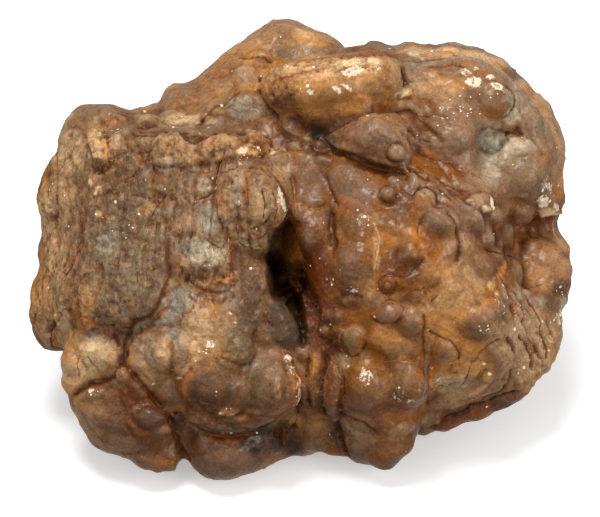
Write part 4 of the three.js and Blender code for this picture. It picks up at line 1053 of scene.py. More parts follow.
# patches of colour on the face, laid one over the other:
# colour, x, y, half width, half height, turn in degrees, strength
patches = [
    # the body: amber and honey, purple-brown to its left and below
    ("amber", 400, 280, 90, 120, 0, 0.95), ("honey", 455, 305, 36, 46, 0, 0.6),
    ("honey", 470, 380, 36, 22, -25, 0.5), ("tan", 460, 290, 22, 30, 20, 0.4),
    ("amber", 398, 262, 26, 20, 0, 0.95), ("darkAmber", 392, 262, 12, 10, 0, 0.4),
    ("amber", 412, 286, 26, 12, 0, 0.7), ("honey", 384, 240, 10, 26, 0, 0.5),
    ("tan", 376, 246, 5, 26, 0, 0.7), ("purpleBrown", 406, 256, 10, 12, 0, 0.85),
    ("olive", 396, 246, 10, 8, 0, 0.4), ("purpleBrown", 360, 420, 44, 42, 0, 0.6),
    ("umber", 356, 424, 26, 20, 10, 0.5), ("umber", 390, 450, 36, 18, -14, 0.5),
    ("tan", 356, 236, 20, 20, 40, 0.5), ("mauve", 352, 262, 18, 18, 0, 0.7),
    ("purpleBrown", 350, 280, 18, 18, 0, 0.75), ("tan", 365, 285, 10, 22, 0, 0.35),
    ("darkAmber", 332, 236, 5, 22, 0, 0.85), ("amber", 330, 252, 3, 8, 0, 0.7),
    ("amber", 322, 262, 8, 26, 0, 0.4), ("mauve", 440, 216, 19, 13, 10, 0.85),
    ("purpleBrown", 436, 232, 14, 8, 0, 0.6), ("amber", 434, 246, 14, 12, 0, 0.8),
    ("tan", 450, 240, 8, 22, 0, 0.5), ("purpleBrown", 478, 325, 13, 13, 0, 0.75),
    ("mauve", 492, 320, 12, 16, 0, 0.7), ("mauve", 389, 313, 15, 10, -10, 0.75),
    ("mauve", 412, 314, 9, 8, 0, 0.8), ("purpleBrown", 411, 331, 10, 13, 0, 0.8),
    ("honey", 392, 338, 20, 13, 0, 0.6), ("tan", 402, 350, 18, 8, 0, 0.5),
    ("tan", 352, 332, 12, 7, 0, 0.5), ("olive", 351, 342, 7, 8, 0, 0.8),
    ("honey", 356, 356, 9, 8, 0, 0.5), ("greyWhite", 344, 361, 5, 7, 0, 0.45),
    ("amber", 372, 376, 22, 24, 0, 0.75), ("honey", 378, 392, 14, 14, 0, 0.45),
    ("purpleBrown", 362, 402, 12, 9, 0, 0.65), ("olive", 406, 384, 15, 20, 0, 0.55),
    ("paleMauve", 406, 369, 12, 5, 15, 0.5), ("greyBrown", 427, 380, 5, 36, 0, 0.6),
    ("amber", 400, 418, 22, 8, 0, 0.4), ("honey", 448, 318, 18, 14, 0, 0.5),
    ("mauve", 445, 346, 10, 10, 0, 0.55), ("purpleBrown", 446, 352, 7, 6, 0, 0.5),
    ("amber", 436, 362, 6, 30, 0, 0.7), ("honey", 458, 372, 16, 10, 0, 0.5),
    ("tan", 438, 384, 8, 10, 0, 0.5), ("purpleBrown", 440, 402, 12, 9, 0, 0.6),
    ("mauve", 456, 402, 16, 7, -15, 0.5), ("purpleBrown", 486, 377, 5, 5, 0, 0.6),
    ("purpleBrown", 502, 368, 10, 24, 8, 0.75), ("purpleBrown", 486, 396, 20, 6, -25, 0.6),
    ("mauve", 500, 346, 12, 10, 0, 0.6), ("mauve", 375, 300, 14, 9, 0, 0.55),
    ("purpleBrown", 348, 300, 14, 9, 0, 0.5), ("tan", 410, 300, 16, 9, 0, 0.4),
    ("honey", 424, 272, 10, 14, 0, 0.5), ("amber", 440, 272, 14, 16, 0, 0.5),
    ("amber", 458, 274, 10, 8, 20, 0.7), ("tan", 466, 276, 10, 8, 0, 0.5),
    ("redBrown", 312, 320, 10, 34, 0, 0.85), ("redBrown", 330, 322, 12, 18, 0, 0.65),
    ("redBrown", 330, 346, 12, 10, 0, 0.85), ("mauve", 328, 316, 6, 5, 0, 0.7),
    ("paleMauve", 324, 328, 5, 3, 0, 0.7), ("mauve", 338, 316, 6, 5, 0, 0.5),
    ("amber", 340, 322, 10, 6, 0, 0.5),
    # bottom of the body; the umber and near-black here are painted shade
    ("redBrown", 356, 416, 18, 7, 15, 0.7), ("purpleBrown", 372, 420, 16, 8, 0, 0.5),
    ("tan", 358, 440, 20, 9, 15, 0.55), ("tan", 316, 436, 15, 14, 0, 0.4),
    ("umber", 316, 440, 20, 12, 0, 0.5), ("nearBlack", 338, 434, 6, 14, -10, 0.65),
    ("nearBlack", 290, 438, 8, 14, 0, 0.6), ("amber", 392, 446, 22, 14, -20, 0.45),
    ("redBrown", 376, 430, 14, 6, 20, 0.5), ("tan", 400, 432, 16, 6, -25, 0.5),
    ("olive", 398, 458, 16, 9, -20, 0.5), ("purpleBrown", 425, 420, 9, 12, 20, 0.6),
    ("redBrown", 318, 408, 14, 8, 0, 0.6),
    # columns beside the pit
    ("honey", 314, 364, 5, 12, 0, 0.55), ("amber", 303, 376, 8, 5, 0, 0.7),
    ("redBrown", 306, 398, 8, 18, 0, 0.6), ("purpleBrown", 318, 388, 6, 18, 0, 0.5),
    ("redBrown", 322, 374, 4, 18, 0, 0.6), ("purpleBrown", 333, 386, 6, 22, 0, 0.85),
    ("purpleBrown", 334, 410, 6, 12, 0, 0.7), ("orange", 328, 366, 2, 8, 20, 0.6),
    ("mauve", 303, 352, 8, 9, 0, 0.7),
    # ridges above the pit
    ("purpleBrown", 310, 205, 34, 44, 0, 0.7), ("mauve", 312, 184, 16, 16, 10, 0.85),
    ("amber", 310, 206, 12, 4, 15, 0.55), ("mauve", 308, 222, 12, 8, 0, 0.6),
    ("purpleBrown", 308, 238, 13, 16, 0, 0.75), ("redBrown", 318, 250, 9, 14, 0, 0.7),
    ("nearBlack", 306, 268, 10, 16, 0, 0.7), ("mauve", 355, 184, 30, 18, 35, 0.95),
    ("paleMauve", 358, 186, 16, 9, 35, 0.4), ("rust", 346, 203, 9, 8, 30, 0.45),
    ("amber", 340, 208, 6, 12, 0, 0.5), ("mauve", 365, 210, 10, 8, 0, 0.5),
    # the dark amber below and right of the small dome at 387, 193 is its painted shadow
    ("darkAmber", 388, 204, 12, 5, 20, 0.6), ("purpleBrown", 398, 222, 18, 10, 0, 0.6),
    ("mauve", 384, 222, 10, 7, 0, 0.5), ("amber", 382, 232, 12, 6, 10, 0.5),
    ("greyBrown", 387, 193, 7, 6, 0, 0.8), ("darkAmber", 404, 200, 9, 18, 10, 0.8),
    ("greyBrown", 395, 182, 8, 5, 50, 0.8), ("oliveGrey", 413, 180, 5, 9, -20, 0.8),
    ("tan", 427, 194, 8, 5, 0, 0.6), ("amber", 424, 204, 8, 4, 0, 0.8),
    ("amber", 294, 192, 5, 22, 0, 0.6), ("darkAmber", 296, 244, 5, 20, 0, 0.6),
    ("mauve", 276, 158, 11, 7, 0, 0.8), ("amber", 264, 170, 8, 6, 20, 0.8),
    ("darkAmber", 280, 176, 8, 4, 0, 0.4), ("mauve", 290, 166, 12, 8, 0, 0.6),
    # slope and knuckles to the right
    ("purpleBrown", 480, 245, 40, 46, 35, 0.6), ("mauve", 452, 200, 26, 16, 38, 0.7),
    ("mauve", 464, 232, 10, 24, -25, 0.6), ("tan", 468, 250, 9, 18, -20, 0.45),
    ("purpleBrown", 474, 222, 10, 8, 50, 0.85), ("darkGrey", 472, 216, 8, 4, 20, 0.5),
    ("blueGrey", 470, 207, 9, 4, 5, 0.85), ("greyWhite", 477, 215, 4, 4, 0, 0.7),
    ("blueGrey", 484, 226, 4, 7, -20, 0.6), ("mauve", 489, 237, 6, 7, 0, 0.75),
    ("tan", 498, 214, 9, 8, 0, 0.6), ("darkAmber", 496, 230, 7, 9, 0, 0.8),
    ("amber", 498, 226, 6, 4, 0, 0.6), ("greyBrown", 508, 230, 6, 8, 0, 0.8),
    ("olive", 504, 244, 7, 6, 0, 0.6), ("paleMauve", 521, 210, 10, 8, 0, 0.6),
    ("greyBrown", 524, 220, 9, 7, 0, 0.5), ("darkAmber", 520, 238, 14, 9, 0, 0.85),
    ("darkAmber", 508, 248, 8, 5, 0, 0.7), ("redBrown", 545, 226, 14, 11, 0, 0.75),
    ("amber", 528, 242, 14, 8, 0, 0.7), ("darkAmber", 540, 222, 12, 4, 0, 0.6),
    ("purpleBrown", 482, 266, 8, 13, -20, 0.7), ("purpleBrown", 497, 256, 9, 6, 40, 0.75),
    ("redBrown", 512, 258, 9, 4, 15, 0.7), ("greyBrown", 516, 268, 6, 9, -8, 0.7),
    ("amber", 510, 276, 8, 8, 0, 0.6), ("olive", 519, 280, 5, 5, 0, 0.6),
    ("amber", 532, 270, 9, 11, 0, 0.5), ("tan", 548, 262, 22, 26, 0, 0.8),
    ("mauve", 556, 268, 14, 22, 0, 0.5), ("purpleBrown", 560, 286, 9, 10, 0, 0.6),
    ("tan", 562, 240, 5, 18, -20, 0.6), ("mauve", 530, 250, 9, 9, 0, 0.5),
    ("purpleBrown", 506, 292, 9, 16, -20, 0.6), ("mauve", 520, 305, 10, 18, -20, 0.7),
    ("purpleBrown", 540, 298, 16, 10, 0, 0.55), ("mauve", 500, 304, 7, 14, 0, 0.6),
    ("olive", 530, 320, 12, 7, 20, 0.5), ("tan", 545, 325, 12, 16, 0, 0.6),
    ("mauve", 535, 345, 30, 34, -15, 0.65), ("tan", 530, 345, 26, 34, -15, 0.65),
    ("tan", 522, 362, 9, 24, 10, 0.6), ("rust", 536, 352, 5, 14, -10, 0.35),
    ("tan", 550, 348, 10, 30, -20, 0.5), ("paleMauve", 528, 340, 6, 12, -30, 0.4),
    ("redBrown", 516, 388, 16, 8, -35, 0.6), ("purpleBrown", 508, 396, 16, 6, -35, 0.5),
    ("orange", 503, 268, 4, 5, 20, 0.85), ("orange", 499, 275, 2.5, 3.5, 20, 0.8),
    ("yellow", 492, 286, 5, 4, 30, 0.85), ("yellow", 498, 293, 2, 3, 30, 0.9),
    # underside, lower right: red-brown, made darker with painted shade
    ("redBrown", 470, 414, 60, 11, -18, 0.85), ("umber", 466, 417, 56, 11, -18, 0.7),
    ("nearBlack", 455, 422, 40, 7, -18, 0.75), ("nearBlack", 488, 408, 26, 6, -18, 0.45),
    ("purpleBrown", 440, 428, 14, 6, -10, 0.5),
    # upper right
    ("mauve", 480, 130, 86, 80, 0, 0.85), ("tan", 436, 92, 30, 15, 10, 0.6),
    ("amber", 426, 102, 10, 4, 20, 0.75), ("honey", 446, 84, 24, 8, 0, 0.5),
    ("amber", 448, 170, 20, 9, 20, 0.9), ("amber", 430, 168, 22, 14, 35, 0.6),
    ("amber", 424, 160, 14, 12, 35, 0.75), ("darkAmber", 414, 146, 7, 16, -10, 0.55),
    ("darkAmber", 456, 166, 7, 3, 20, 0.6), ("darkAmber", 416, 172, 7, 6, 20, 0.7),
    ("purpleBrown", 420, 124, 16, 10, 20, 0.5), ("redBrown", 410, 116, 10, 4, 10, 0.7),
    ("greyBrown", 410, 72, 10, 12, 0, 0.6), ("tan", 460, 52, 62, 9, 8, 0.75),
    ("beige", 455, 50, 56, 6, 6, 0.6), ("tan", 510, 74, 22, 7, 45, 0.75),
    ("tan", 545, 112, 34, 7, 62, 0.75), ("orange", 430, 50, 30, 4, 0, 0.3),
    ("cream", 413, 52, 6, 4, 20, 0.7), ("redBrown", 436, 66, 8, 3, -10, 0.8),
    ("rust", 450, 62, 5, 3, 0, 0.7), ("redBrown", 452, 70, 7, 4, 0, 0.5),
    ("rust", 479, 72, 8, 2.5, 10, 0.7), ("chalk", 465, 71, 5, 4, 20, 0.6),
    ("chalk", 476, 67, 4, 2.5, 0, 0.6), ("purpleBrown", 478, 96, 14, 9, 0, 0.5),
    ("purpleBrown", 504, 98, 10, 9, 0, 0.75), ("amber", 494, 112, 14, 7, 0, 0.65),
    # the blue-grey stroke at 510, 98 is a painted highlight on the dome there
    ("olive", 488, 100, 8, 7, 0, 0.4), ("blueGrey", 510, 98, 4, 9, -15, 0.7),
    ("chalk", 474, 82, 9, 5, -10, 0.75), ("chalk", 491, 76, 5, 2.5, 0, 0.7),
    ("chalk", 497, 86, 8, 4, 35, 0.7), ("chalk", 517, 85, 4, 4, 0, 0.7),
    ("greyWhite", 512, 116, 9, 8, -40, 0.75), ("greyWhite", 524, 100, 9, 20, -30, 0.35),
    ("greyWhite", 516, 148, 20, 9, -10, 0.8), ("greyWhite", 496, 160, 14, 9, 0, 0.7),
    ("greyWhite", 488, 172, 12, 16, 0, 0.4), ("oliveGrey", 530, 180, 20, 22, 0, 0.65),
    ("oliveGrey", 540, 125, 8, 24, -25, 0.5), ("amber", 548, 150, 5, 10, -10, 0.35),
    ("blueGrey", 493, 141, 13, 14, 0, 0.95), ("greyWhite", 494, 138, 8, 7, 0, 0.3),
    ("olive", 486, 152, 7, 3, 20, 0.8), ("olive", 514, 131, 9, 5, 10, 0.95),
    ("olive", 502, 130, 5, 3, 0, 0.5), ("beige", 510, 124, 5, 2, 0, 0.5),
    ("purpleBrown", 522, 196, 20, 9, 0, 0.4), ("purpleBrown", 548, 192, 10, 9, 0, 0.5),
    ("tan", 556, 178, 8, 14, 0, 0.4), ("chalk", 550, 186, 7, 6, 30, 0.6),
    ("chalk", 543, 202, 5, 6, 0, 0.8), ("chalk", 556, 206, 3, 5, 0, 0.7),
    ("cream", 548, 212, 11, 3.5, 0, 0.95), ("paleMauve", 478, 200, 11, 5, -5, 0.85),
    ("chalk", 491, 201, 2.5, 7, -10, 0.95), ("cream", 484, 210, 6, 3, 0, 0.85),
    ("darkAmber", 462, 192, 14, 3.5, -10, 0.6), ("amber", 466, 196, 5, 3, 0, 0.6),
    ("mauve", 470, 180, 22, 8, 15, 0.5), ("purpleBrown", 444, 186, 16, 7, 38, 0.4),
    ("tan", 566, 150, 4, 26, 0, 0.6),
    # long lobe; the dark amber and near-black along its underside and in the crevices below it are painted
    # shade
    ("honey", 330, 92, 74, 36, 0, 0.9), ("beige", 330, 68, 58, 9, -4, 0.65),
    ("honey", 300, 88, 26, 8, 0, 0.6), ("tan", 372, 84, 20, 10, 0, 0.5),
    ("cream", 360, 62, 24, 4, -4, 0.55), ("chalk", 354, 71, 13, 5, -8, 0.9),
    ("chalk", 378, 67, 4, 4, 0, 0.5), ("chalk", 336, 88, 6, 2.5, 35, 0.8),
    ("chalk", 344, 86, 8, 1.5, 30, 0.6), ("chalk", 310, 92, 3, 2.5, 0, 1.0),
    ("chalk", 306, 82, 2, 1.5, 0, 0.8), ("rust", 300, 73, 16, 3, -12, 0.35),
    ("redBrown", 285, 79, 9, 3, -15, 0.4), ("amber", 330, 106, 44, 10, 0, 0.6),
    ("honey", 336, 112, 30, 7, 0, 0.5), ("amber", 360, 100, 20, 8, 10, 0.5),
    ("purpleBrown", 380, 98, 12, 6, 15, 0.55), ("purpleBrown", 285, 104, 12, 9, 0, 0.55),
    ("redBrown", 280, 96, 12, 8, 20, 0.45), ("darkAmber", 320, 121, 36, 9, 5, 0.85),
    ("darkAmber", 372, 112, 24, 6, -15, 0.75), ("nearBlack", 316, 132, 22, 8, 10, 0.85),
    ("tan", 395, 74, 7, 16, 0, 0.6), ("redBrown", 384, 74, 7, 6, 0, 0.35),
    ("cream", 404, 93, 9, 4.5, -8, 0.95), ("orange", 410, 96, 5, 3, 0, 0.6),
    ("darkAmber", 404, 78, 3.5, 8, 0, 0.85), ("redBrown", 268, 108, 7, 9, 0, 0.6),
    ("nearBlack", 318, 143, 24, 9, 0, 0.75), ("redBrown", 290, 142, 16, 8, 20, 0.6),
    ("purpleBrown", 292, 131, 16, 6, 38, 0.85), ("mauve", 288, 127, 9, 4, 38, 0.45),
    ("tan", 309, 138, 4, 4, 0, 0.5), ("greyBrown", 294, 146, 6, 4, 0, 0.8),
    ("purpleBrown", 307, 150, 5, 4, 0, 0.8), ("purpleBrown", 320, 146, 7, 5, 0, 0.5),
    ("nearBlack", 318, 154, 16, 4, 10, 0.6), ("redBrown", 300, 160, 12, 5, 10, 0.5),
    ("darkGrey", 320, 161, 8, 5, 10, 0.6),
    # wedge; the dark amber and near-black along its underside are painted shadow
    ("mauve", 374, 138, 34, 20, 15, 0.9), ("paleMauve", 384, 126, 16, 7, 15, 0.35),
    ("purpleBrown", 366, 148, 20, 8, 20, 0.6), ("darkAmber", 382, 160, 20, 5, 22, 0.75),
    ("nearBlack", 376, 170, 30, 5, 14, 0.8), ("tan", 346, 147, 9, 4, 20, 0.55),
    ("darkGrey", 332, 138, 6, 5, -30, 0.6), ("greyBrown", 395, 151, 6, 6, 0, 0.7),
    ("greyBrown", 402, 158, 5, 7, 0, 0.6), ("amber", 388, 153, 3, 8, 0, 0.4),
    # back peak and slope
    ("honey", 215, 80, 70, 34, -32, 0.7), ("tan", 290, 36, 44, 22, 0, 0.7),
    ("mauve", 280, 32, 20, 12, 0, 0.5), ("honey", 308, 36, 18, 7, 22, 0.75),
    ("cream", 306, 33, 14, 4, 22, 0.35), ("greyBrown", 300, 51, 34, 5, 0, 0.65),
    ("darkGrey", 284, 53, 12, 5, 0, 0.5), ("redBrown", 262, 60, 9, 3, 0, 0.7),
    ("rust", 272, 40, 4, 3, 0, 0.5), ("rust", 220, 76, 8, 3, -20, 0.6), ("tan", 246, 75, 14, 12, 0, 0.75),
    ("beige", 246, 70, 8, 6, 0, 0.35), ("amber", 234, 90, 7, 8, 0, 0.7), ("tan", 222, 86, 11, 8, 0, 0.5),
    ("rust", 185, 96, 16, 5, -12, 0.4), ("amber", 176, 103, 14, 4, 0, 0.5),
    ("mauve", 195, 82, 20, 6, -28, 0.45), ("oliveGrey", 178, 92, 14, 6, -20, 0.4),
    ("mauve", 212, 106, 10, 5, 0, 0.5), ("greyBrown", 245, 108, 20, 13, 10, 0.9),
    ("greyWhite", 243, 108, 16, 9, 10, 0.5), ("oliveGrey", 236, 116, 16, 7, 0, 0.6),
    ("greyBrown", 214, 128, 14, 9, -35, 0.85), ("purpleBrown", 245, 128, 20, 8, 0, 0.65),
    ("purpleBrown", 264, 122, 10, 9, 0, 0.5), ("cream", 176, 119, 34, 8, 7, 0.9),
    ("beige", 182, 127, 20, 6, 12, 0.6), ("greyBrown", 172, 129, 10, 3, 5, 0.7),
    ("tan", 160, 112, 16, 4, 0, 0.7), ("rust", 150, 113, 10, 3, 0, 0.4),
    ("darkAmber", 200, 128, 4, 10, 30, 0.6), ("olive", 200, 138, 9, 4, -30, 0.6),
    ("beige", 144, 119, 10, 6, 0, 0.6), ("cream", 147, 122, 6, 4, 0, 0.6),
    ("amber", 150, 128, 16, 3, 4, 0.95), ("darkAmber", 162, 131, 8, 2.5, 4, 0.7),
    # fibrous block
    ("fibreBrown", 160, 225, 122, 118, 8, 0.95), ("greyBrown", 130, 260, 50, 60, 8, 0.6),
    ("mauve", 62, 250, 18, 100, 6, 0.5), ("tan", 58, 235, 15, 80, 4, 0.65),
    ("beige", 70, 148, 15, 22, 0, 0.4), ("honey", 42, 196, 5, 22, 5, 0.75),
    ("honey", 43, 290, 8, 40, 5, 0.75), ("honey", 36, 305, 5, 16, 10, 0.5),
    ("mauve", 42, 318, 10, 18, 0, 0.5), ("orange", 55, 338, 3, 14, -20, 0.6),
    ("oliveGrey", 120, 240, 30, 24, 0, 0.7), ("blueGrey", 106, 242, 10, 13, 0, 0.55),
    ("oliveGrey", 128, 285, 32, 26, 15, 0.5), ("darkGrey", 150, 300, 14, 20, 20, 0.4),
    ("darkGrey", 112, 314, 18, 9, 0, 0.5), ("darkGrey", 130, 205, 14, 9, 0, 0.45),
    ("olive", 160, 208, 9, 10, 0, 0.6), ("yellow", 146, 209, 9, 5, -10, 0.5),
    ("orange", 163, 200, 3.5, 2.5, -20, 0.75), ("yellow", 146, 246, 3, 4, 0, 0.75),
    ("cream", 140, 254, 2, 3, 0, 0.7), ("cream", 126, 258, 2, 2, 0, 0.7),
    ("mauve", 96, 112, 26, 8, -5, 0.75), ("purpleBrown", 102, 108, 14, 4, -5, 0.4),
    ("tan", 70, 120, 10, 9, 0, 0.5), ("beige", 70, 117, 5, 5, -30, 0.6),
    ("rust", 112, 122, 16, 4, -15, 0.4), ("paleMauve", 119, 115, 7, 5, 0, 0.7),
    ("chalk", 118, 114, 2, 2, 0, 0.8), ("redBrown", 128, 118, 3, 5, 0, 0.7),
    ("oliveGrey", 66, 142, 12, 12, 0, 0.5), ("tan", 80, 145, 12, 10, 0, 0.3),
    ("darkAmber", 86, 134, 4, 6, 0, 0.6), ("yellow", 96, 139, 8, 8, 0, 0.85),
    ("cream", 98, 136, 6, 5, 0, 0.6), ("beige", 100, 152, 7, 8, 0, 0.75),
    ("orange", 107, 151, 3.5, 10, -5, 0.8), ("yellow", 113, 156, 3, 5, 0, 0.6),
    ("nearBlack", 102, 168, 8, 4, 0, 0.6), ("darkAmber", 92, 168, 9, 5, 0, 0.7),
    ("greyWhite", 88, 152, 4, 6, 0, 0.5), ("darkGrey", 88, 162, 8, 5, 0, 0.5),
    ("beige", 114, 142, 8, 9, 0, 0.55), ("paleMauve", 118, 145, 8, 9, 0, 0.5),
    ("chalk", 116, 133, 4, 2, 0, 0.7), ("chalk", 124, 130, 3, 2, -20, 0.7),
    ("cream", 89, 183, 3, 4.5, 0, 1.0), ("cream", 98, 192, 4.5, 4, -10, 1.0),
    ("amber", 104, 196, 2.5, 9, 0, 0.7), ("amber", 93, 188, 2, 7, 0, 0.6),
    ("darkAmber", 99, 209, 2.5, 3, 0, 0.8), ("beige", 99, 214, 3, 3, 0, 0.5),
    ("darkGrey", 122, 164, 12, 12, 0, 0.5), ("tan", 126, 178, 16, 4, 0, 0.35),
    ("blueGrey", 142, 172, 6, 5, 0, 0.6), ("greyBrown", 144, 184, 12, 11, 0, 0.7),
    ("rust", 152, 184, 2.5, 9, -15, 0.5), ("purpleBrown", 145, 156, 9, 14, 0, 0.45),
    ("paleMauve", 150, 140, 8, 5, 0, 0.5), ("tan", 160, 140, 8, 5, 0, 0.5),
    ("paleMauve", 178, 139, 7, 4, 0, 0.55), ("tan", 186, 150, 36, 13, 0, 0.7),
    ("tan", 226, 150, 22, 9, 0, 0.6), ("greyBrown", 188, 196, 14, 30, 0, 0.6),
    ("tan", 226, 140, 18, 4, 0, 0.6), ("olive", 160, 152, 6, 7, 0, 0.35),
    ("blueGrey", 171, 168, 7, 7, 0, 0.75), ("greyWhite", 171, 167, 3, 3, 0, 0.6),
    ("blueGrey", 195, 169, 4, 4, 0, 0.7), ("purpleBrown", 210, 160, 16, 8, 0, 0.35),
    ("fibreBrown", 180, 190, 16, 22, 0, 0.6), ("rust", 200, 173, 8, 3, 0, 0.35),
    ("greyWhite", 203, 186, 9, 9, 0, 0.75), ("chalk", 209, 202, 2, 2, 0, 0.9),
    ("blueGrey", 168, 210, 3, 4, 0, 0.8), ("blueGrey", 208, 216, 11, 18, 0, 0.75),
    ("greyWhite", 200, 224, 8, 8, 0, 0.5), ("tan", 186, 222, 9, 12, 0, 0.5),
    ("greyWhite", 205, 252, 26, 15, 5, 0.85), ("chalk", 206, 256, 16, 10, 0, 0.35),
    ("beige", 195, 262, 14, 6, 0, 0.5), ("blueGrey", 190, 244, 10, 6, -20, 0.5),
    ("darkGrey", 222, 246, 10, 8, 20, 0.65), ("beige", 220, 262, 9, 5, 0, 0.5),
    ("rust", 180, 262, 3, 6, 0, 0.5), ("redBrown", 172, 268, 5, 9, 0, 0.6),
    ("purpleBrown", 208, 282, 28, 11, 0, 0.4), ("redBrown", 204, 288, 14, 5, 0, 0.7),
    ("redBrown", 182, 274, 5, 6, 0, 0.6), ("orange", 222, 280, 8, 2.5, 0, 0.75),
    ("rust", 230, 276, 4, 6, 0, 0.6), ("orange", 229, 240, 2.5, 8, 0, 0.4),
    ("tan", 168, 282, 7, 8, 0, 0.6), ("tan", 236, 258, 8, 9, 0, 0.3),
    ("greyBrown", 222, 294, 9, 6, 0, 0.5),
    # rough knob
    ("tan", 252, 210, 34, 40, 0, 0.8), ("beige", 238, 190, 9, 20, 5, 0.6),
    ("cream", 236, 176, 8, 4, 10, 0.55), ("mauve", 266, 182, 14, 8, 20, 0.55),
    ("beige", 262, 200, 8, 12, 0, 0.3), ("honey", 278, 214, 6, 16, 0, 0.5),
    ("chalk", 283, 204, 3.5, 14, -12, 0.9), ("cream", 281, 220, 3, 8, 0, 0.6),
    ("mauve", 252, 242, 18, 8, 0, 0.6), ("redBrown", 262, 226, 16, 6, -15, 0.3),
    ("fibreBrown", 250, 228, 22, 9, 0, 0.5), ("chalk", 242, 204, 2, 3, 0, 0.6),
    ("rust", 222, 204, 3, 6, 0, 0.6), ("redBrown", 222, 190, 4, 9, 0, 0.35),
    ("purpleBrown", 252, 166, 9, 9, 0, 0.5), ("cream", 243, 151, 6, 4, -20, 0.85),
    ("yellow", 252, 154, 5, 3, 0, 0.85), ("yellow", 250, 145, 6, 3, 0, 0.7),
    ("chalk", 240, 161, 3, 4, 0, 0.75), ("blueGrey", 246, 164, 5, 4, 0, 0.5),
    ("tan", 252, 136, 9, 5, 0, 0.6), ("cream", 273, 151, 5, 3, -20, 0.85),
    ("yellow", 279, 150, 4, 3, 0, 0.5), ("redBrown", 262, 148, 7, 5, 0, 0.4),
    # column, dark lobe, tongue
    ("greyBrown", 252, 300, 17, 46, 0, 0.85), ("mauve", 252, 278, 12, 18, 0, 0.6),
    ("purpleBrown", 252, 256, 16, 6, 0, 0.6), ("tan", 264, 285, 3, 22, 0, 0.5),
    ("darkGrey", 284, 325, 20, 28, -20, 0.95), ("umber", 286, 334, 14, 20, -20, 0.3),
    ("oliveGrey", 276, 308, 9, 12, 0, 0.4), ("greyBrown", 268, 332, 9, 12, 0, 0.3),
    ("blueGrey", 178, 304, 12, 17, 30, 0.95), ("greyWhite", 178, 303, 9, 13, 30, 0.3),
    ("greyWhite", 187, 298, 5, 7, 30, 0.75), ("blueGrey", 150, 326, 16, 4, -15, 0.8),
    ("darkGrey", 178, 312, 8, 8, 0, 0.4), ("greyWhite", 166, 300, 5, 9, 20, 0.4),
    ("blueGrey", 180, 338, 8, 14, 0, 0.65), ("blueGrey", 128, 336, 3, 9, 25, 0.5),
    ("tan", 204, 330, 26, 24, 0, 0.8), ("beige", 206, 326, 18, 18, 0, 0.4),
    ("beige", 198, 318, 10, 12, 0, 0.5), ("beige", 192, 340, 9, 12, 0, 0.4),
    ("mauve", 224, 322, 14, 12, 0, 0.45), ("chalk", 229, 314, 3, 2, 0, 0.7),
    ("chalk", 235, 322, 1.5, 4, 0, 0.7), ("oliveGrey", 240, 344, 16, 16, 0, 0.65),
    ("darkGrey", 246, 352, 9, 8, 0, 0.4), ("paleMauve", 204, 302, 8, 5, 0, 0.5),
    ("orange", 213, 310, 2.5, 8, -5, 0.85), ("redBrown", 210, 298, 6, 4, 0, 0.5),
    ("mauve", 262, 326, 6, 5, 0, 0.5), ("chalk", 258, 328, 2, 2, 0, 0.8),
    ("chalk", 260, 333, 2, 1.5, 0, 0.8), ("chalk", 282, 316, 3, 2, 0, 0.5),
    # below the block
    ("honey", 80, 362, 22, 28, 0, 0.85), ("beige", 97, 352, 20, 16, 10, 0.85),
    ("cream", 96, 352, 12, 9, 10, 0.8), ("mauve", 96, 334, 18, 7, 0, 0.8),
    ("greyWhite", 92, 338, 5, 4, 0, 0.4), ("purpleBrown", 110, 334, 8, 8, 0, 0.4),
    ("tan", 78, 386, 16, 9, 0, 0.7), ("rust", 78, 374, 4, 7, 0, 0.5), ("tan", 106, 374, 12, 6, -20, 0.5),
    ("tan", 64, 338, 9, 7, 0, 0.5), ("nearBlack", 121, 359, 4.5, 5, 0, 0.9),
    ("darkAmber", 132, 326, 3, 10, 15, 0.7), ("tan", 150, 352, 22, 22, 0, 0.75),
    ("greyWhite", 148, 352, 13, 14, 0, 0.4), ("beige", 164, 356, 8, 16, 10, 0.6),
    ("oliveGrey", 150, 376, 16, 9, 20, 0.55), ("olive", 168, 376, 12, 9, 0, 0.55),
    ("chalk", 153, 384, 3, 2, 40, 0.7), ("beige", 184, 366, 10, 6, -30, 0.45),
    ("chalk", 200, 350, 1.5, 4, 15, 0.7), ("beige", 196, 358, 6, 4, -30, 0.6),
    ("chalk", 211, 344, 3.5, 3.5, 0, 1.0), ("chalk", 178, 378, 5, 1.5, 0, 0.6),
    ("chalk", 175, 368, 2, 2, 0, 0.6), ("rust", 184, 386, 6, 12, 0, 0.45),
    ("orange", 196, 378, 5, 3, -30, 0.35), ("oliveGrey", 164, 398, 12, 9, 0, 0.5),
    ("purpleBrown", 213, 390, 25, 22, 0, 0.85), ("umber", 213, 394, 25, 19, 0, 0.7),
    ("greyBrown", 208, 376, 14, 6, 0, 0.4), ("mauve", 222, 380, 9, 7, 0, 0.3),
    ("redBrown", 240, 384, 5, 18, 0, 0.55), ("olive", 260, 392, 16, 26, 0, 0.6),
    ("umber", 262, 396, 17, 20, 0, 0.55), ("greyBrown", 258, 372, 14, 9, 0, 0.6),
    ("amber", 266, 396, 6, 10, 0, 0.4), ("beige", 276, 386, 3.5, 17, 0, 0.25),
    ("mauve", 274, 366, 6, 9, 0, 0.5), ("chalk", 276, 364, 2.5, 3, 0, 0.8),
    ("chalk", 272, 376, 2, 1.5, 0, 0.7), ("greyBrown", 286, 388, 6, 20, 0, 0.6),
    ("purpleBrown", 264, 412, 18, 7, 0, 0.55), ("mauve", 246, 408, 9, 6, 0, 0.3),
    ("chalk", 286, 358, 3.5, 3, 30, 1.0), ("chalk", 290, 370, 1.4, 8, -25, 0.6),
    ("chalk", 296, 397, 1.4, 8, 8, 0.65), ("cream", 295, 384, 1.2, 5, 20, 0.7),
    ("purpleBrown", 300, 364, 6, 8, 0, 0.5),
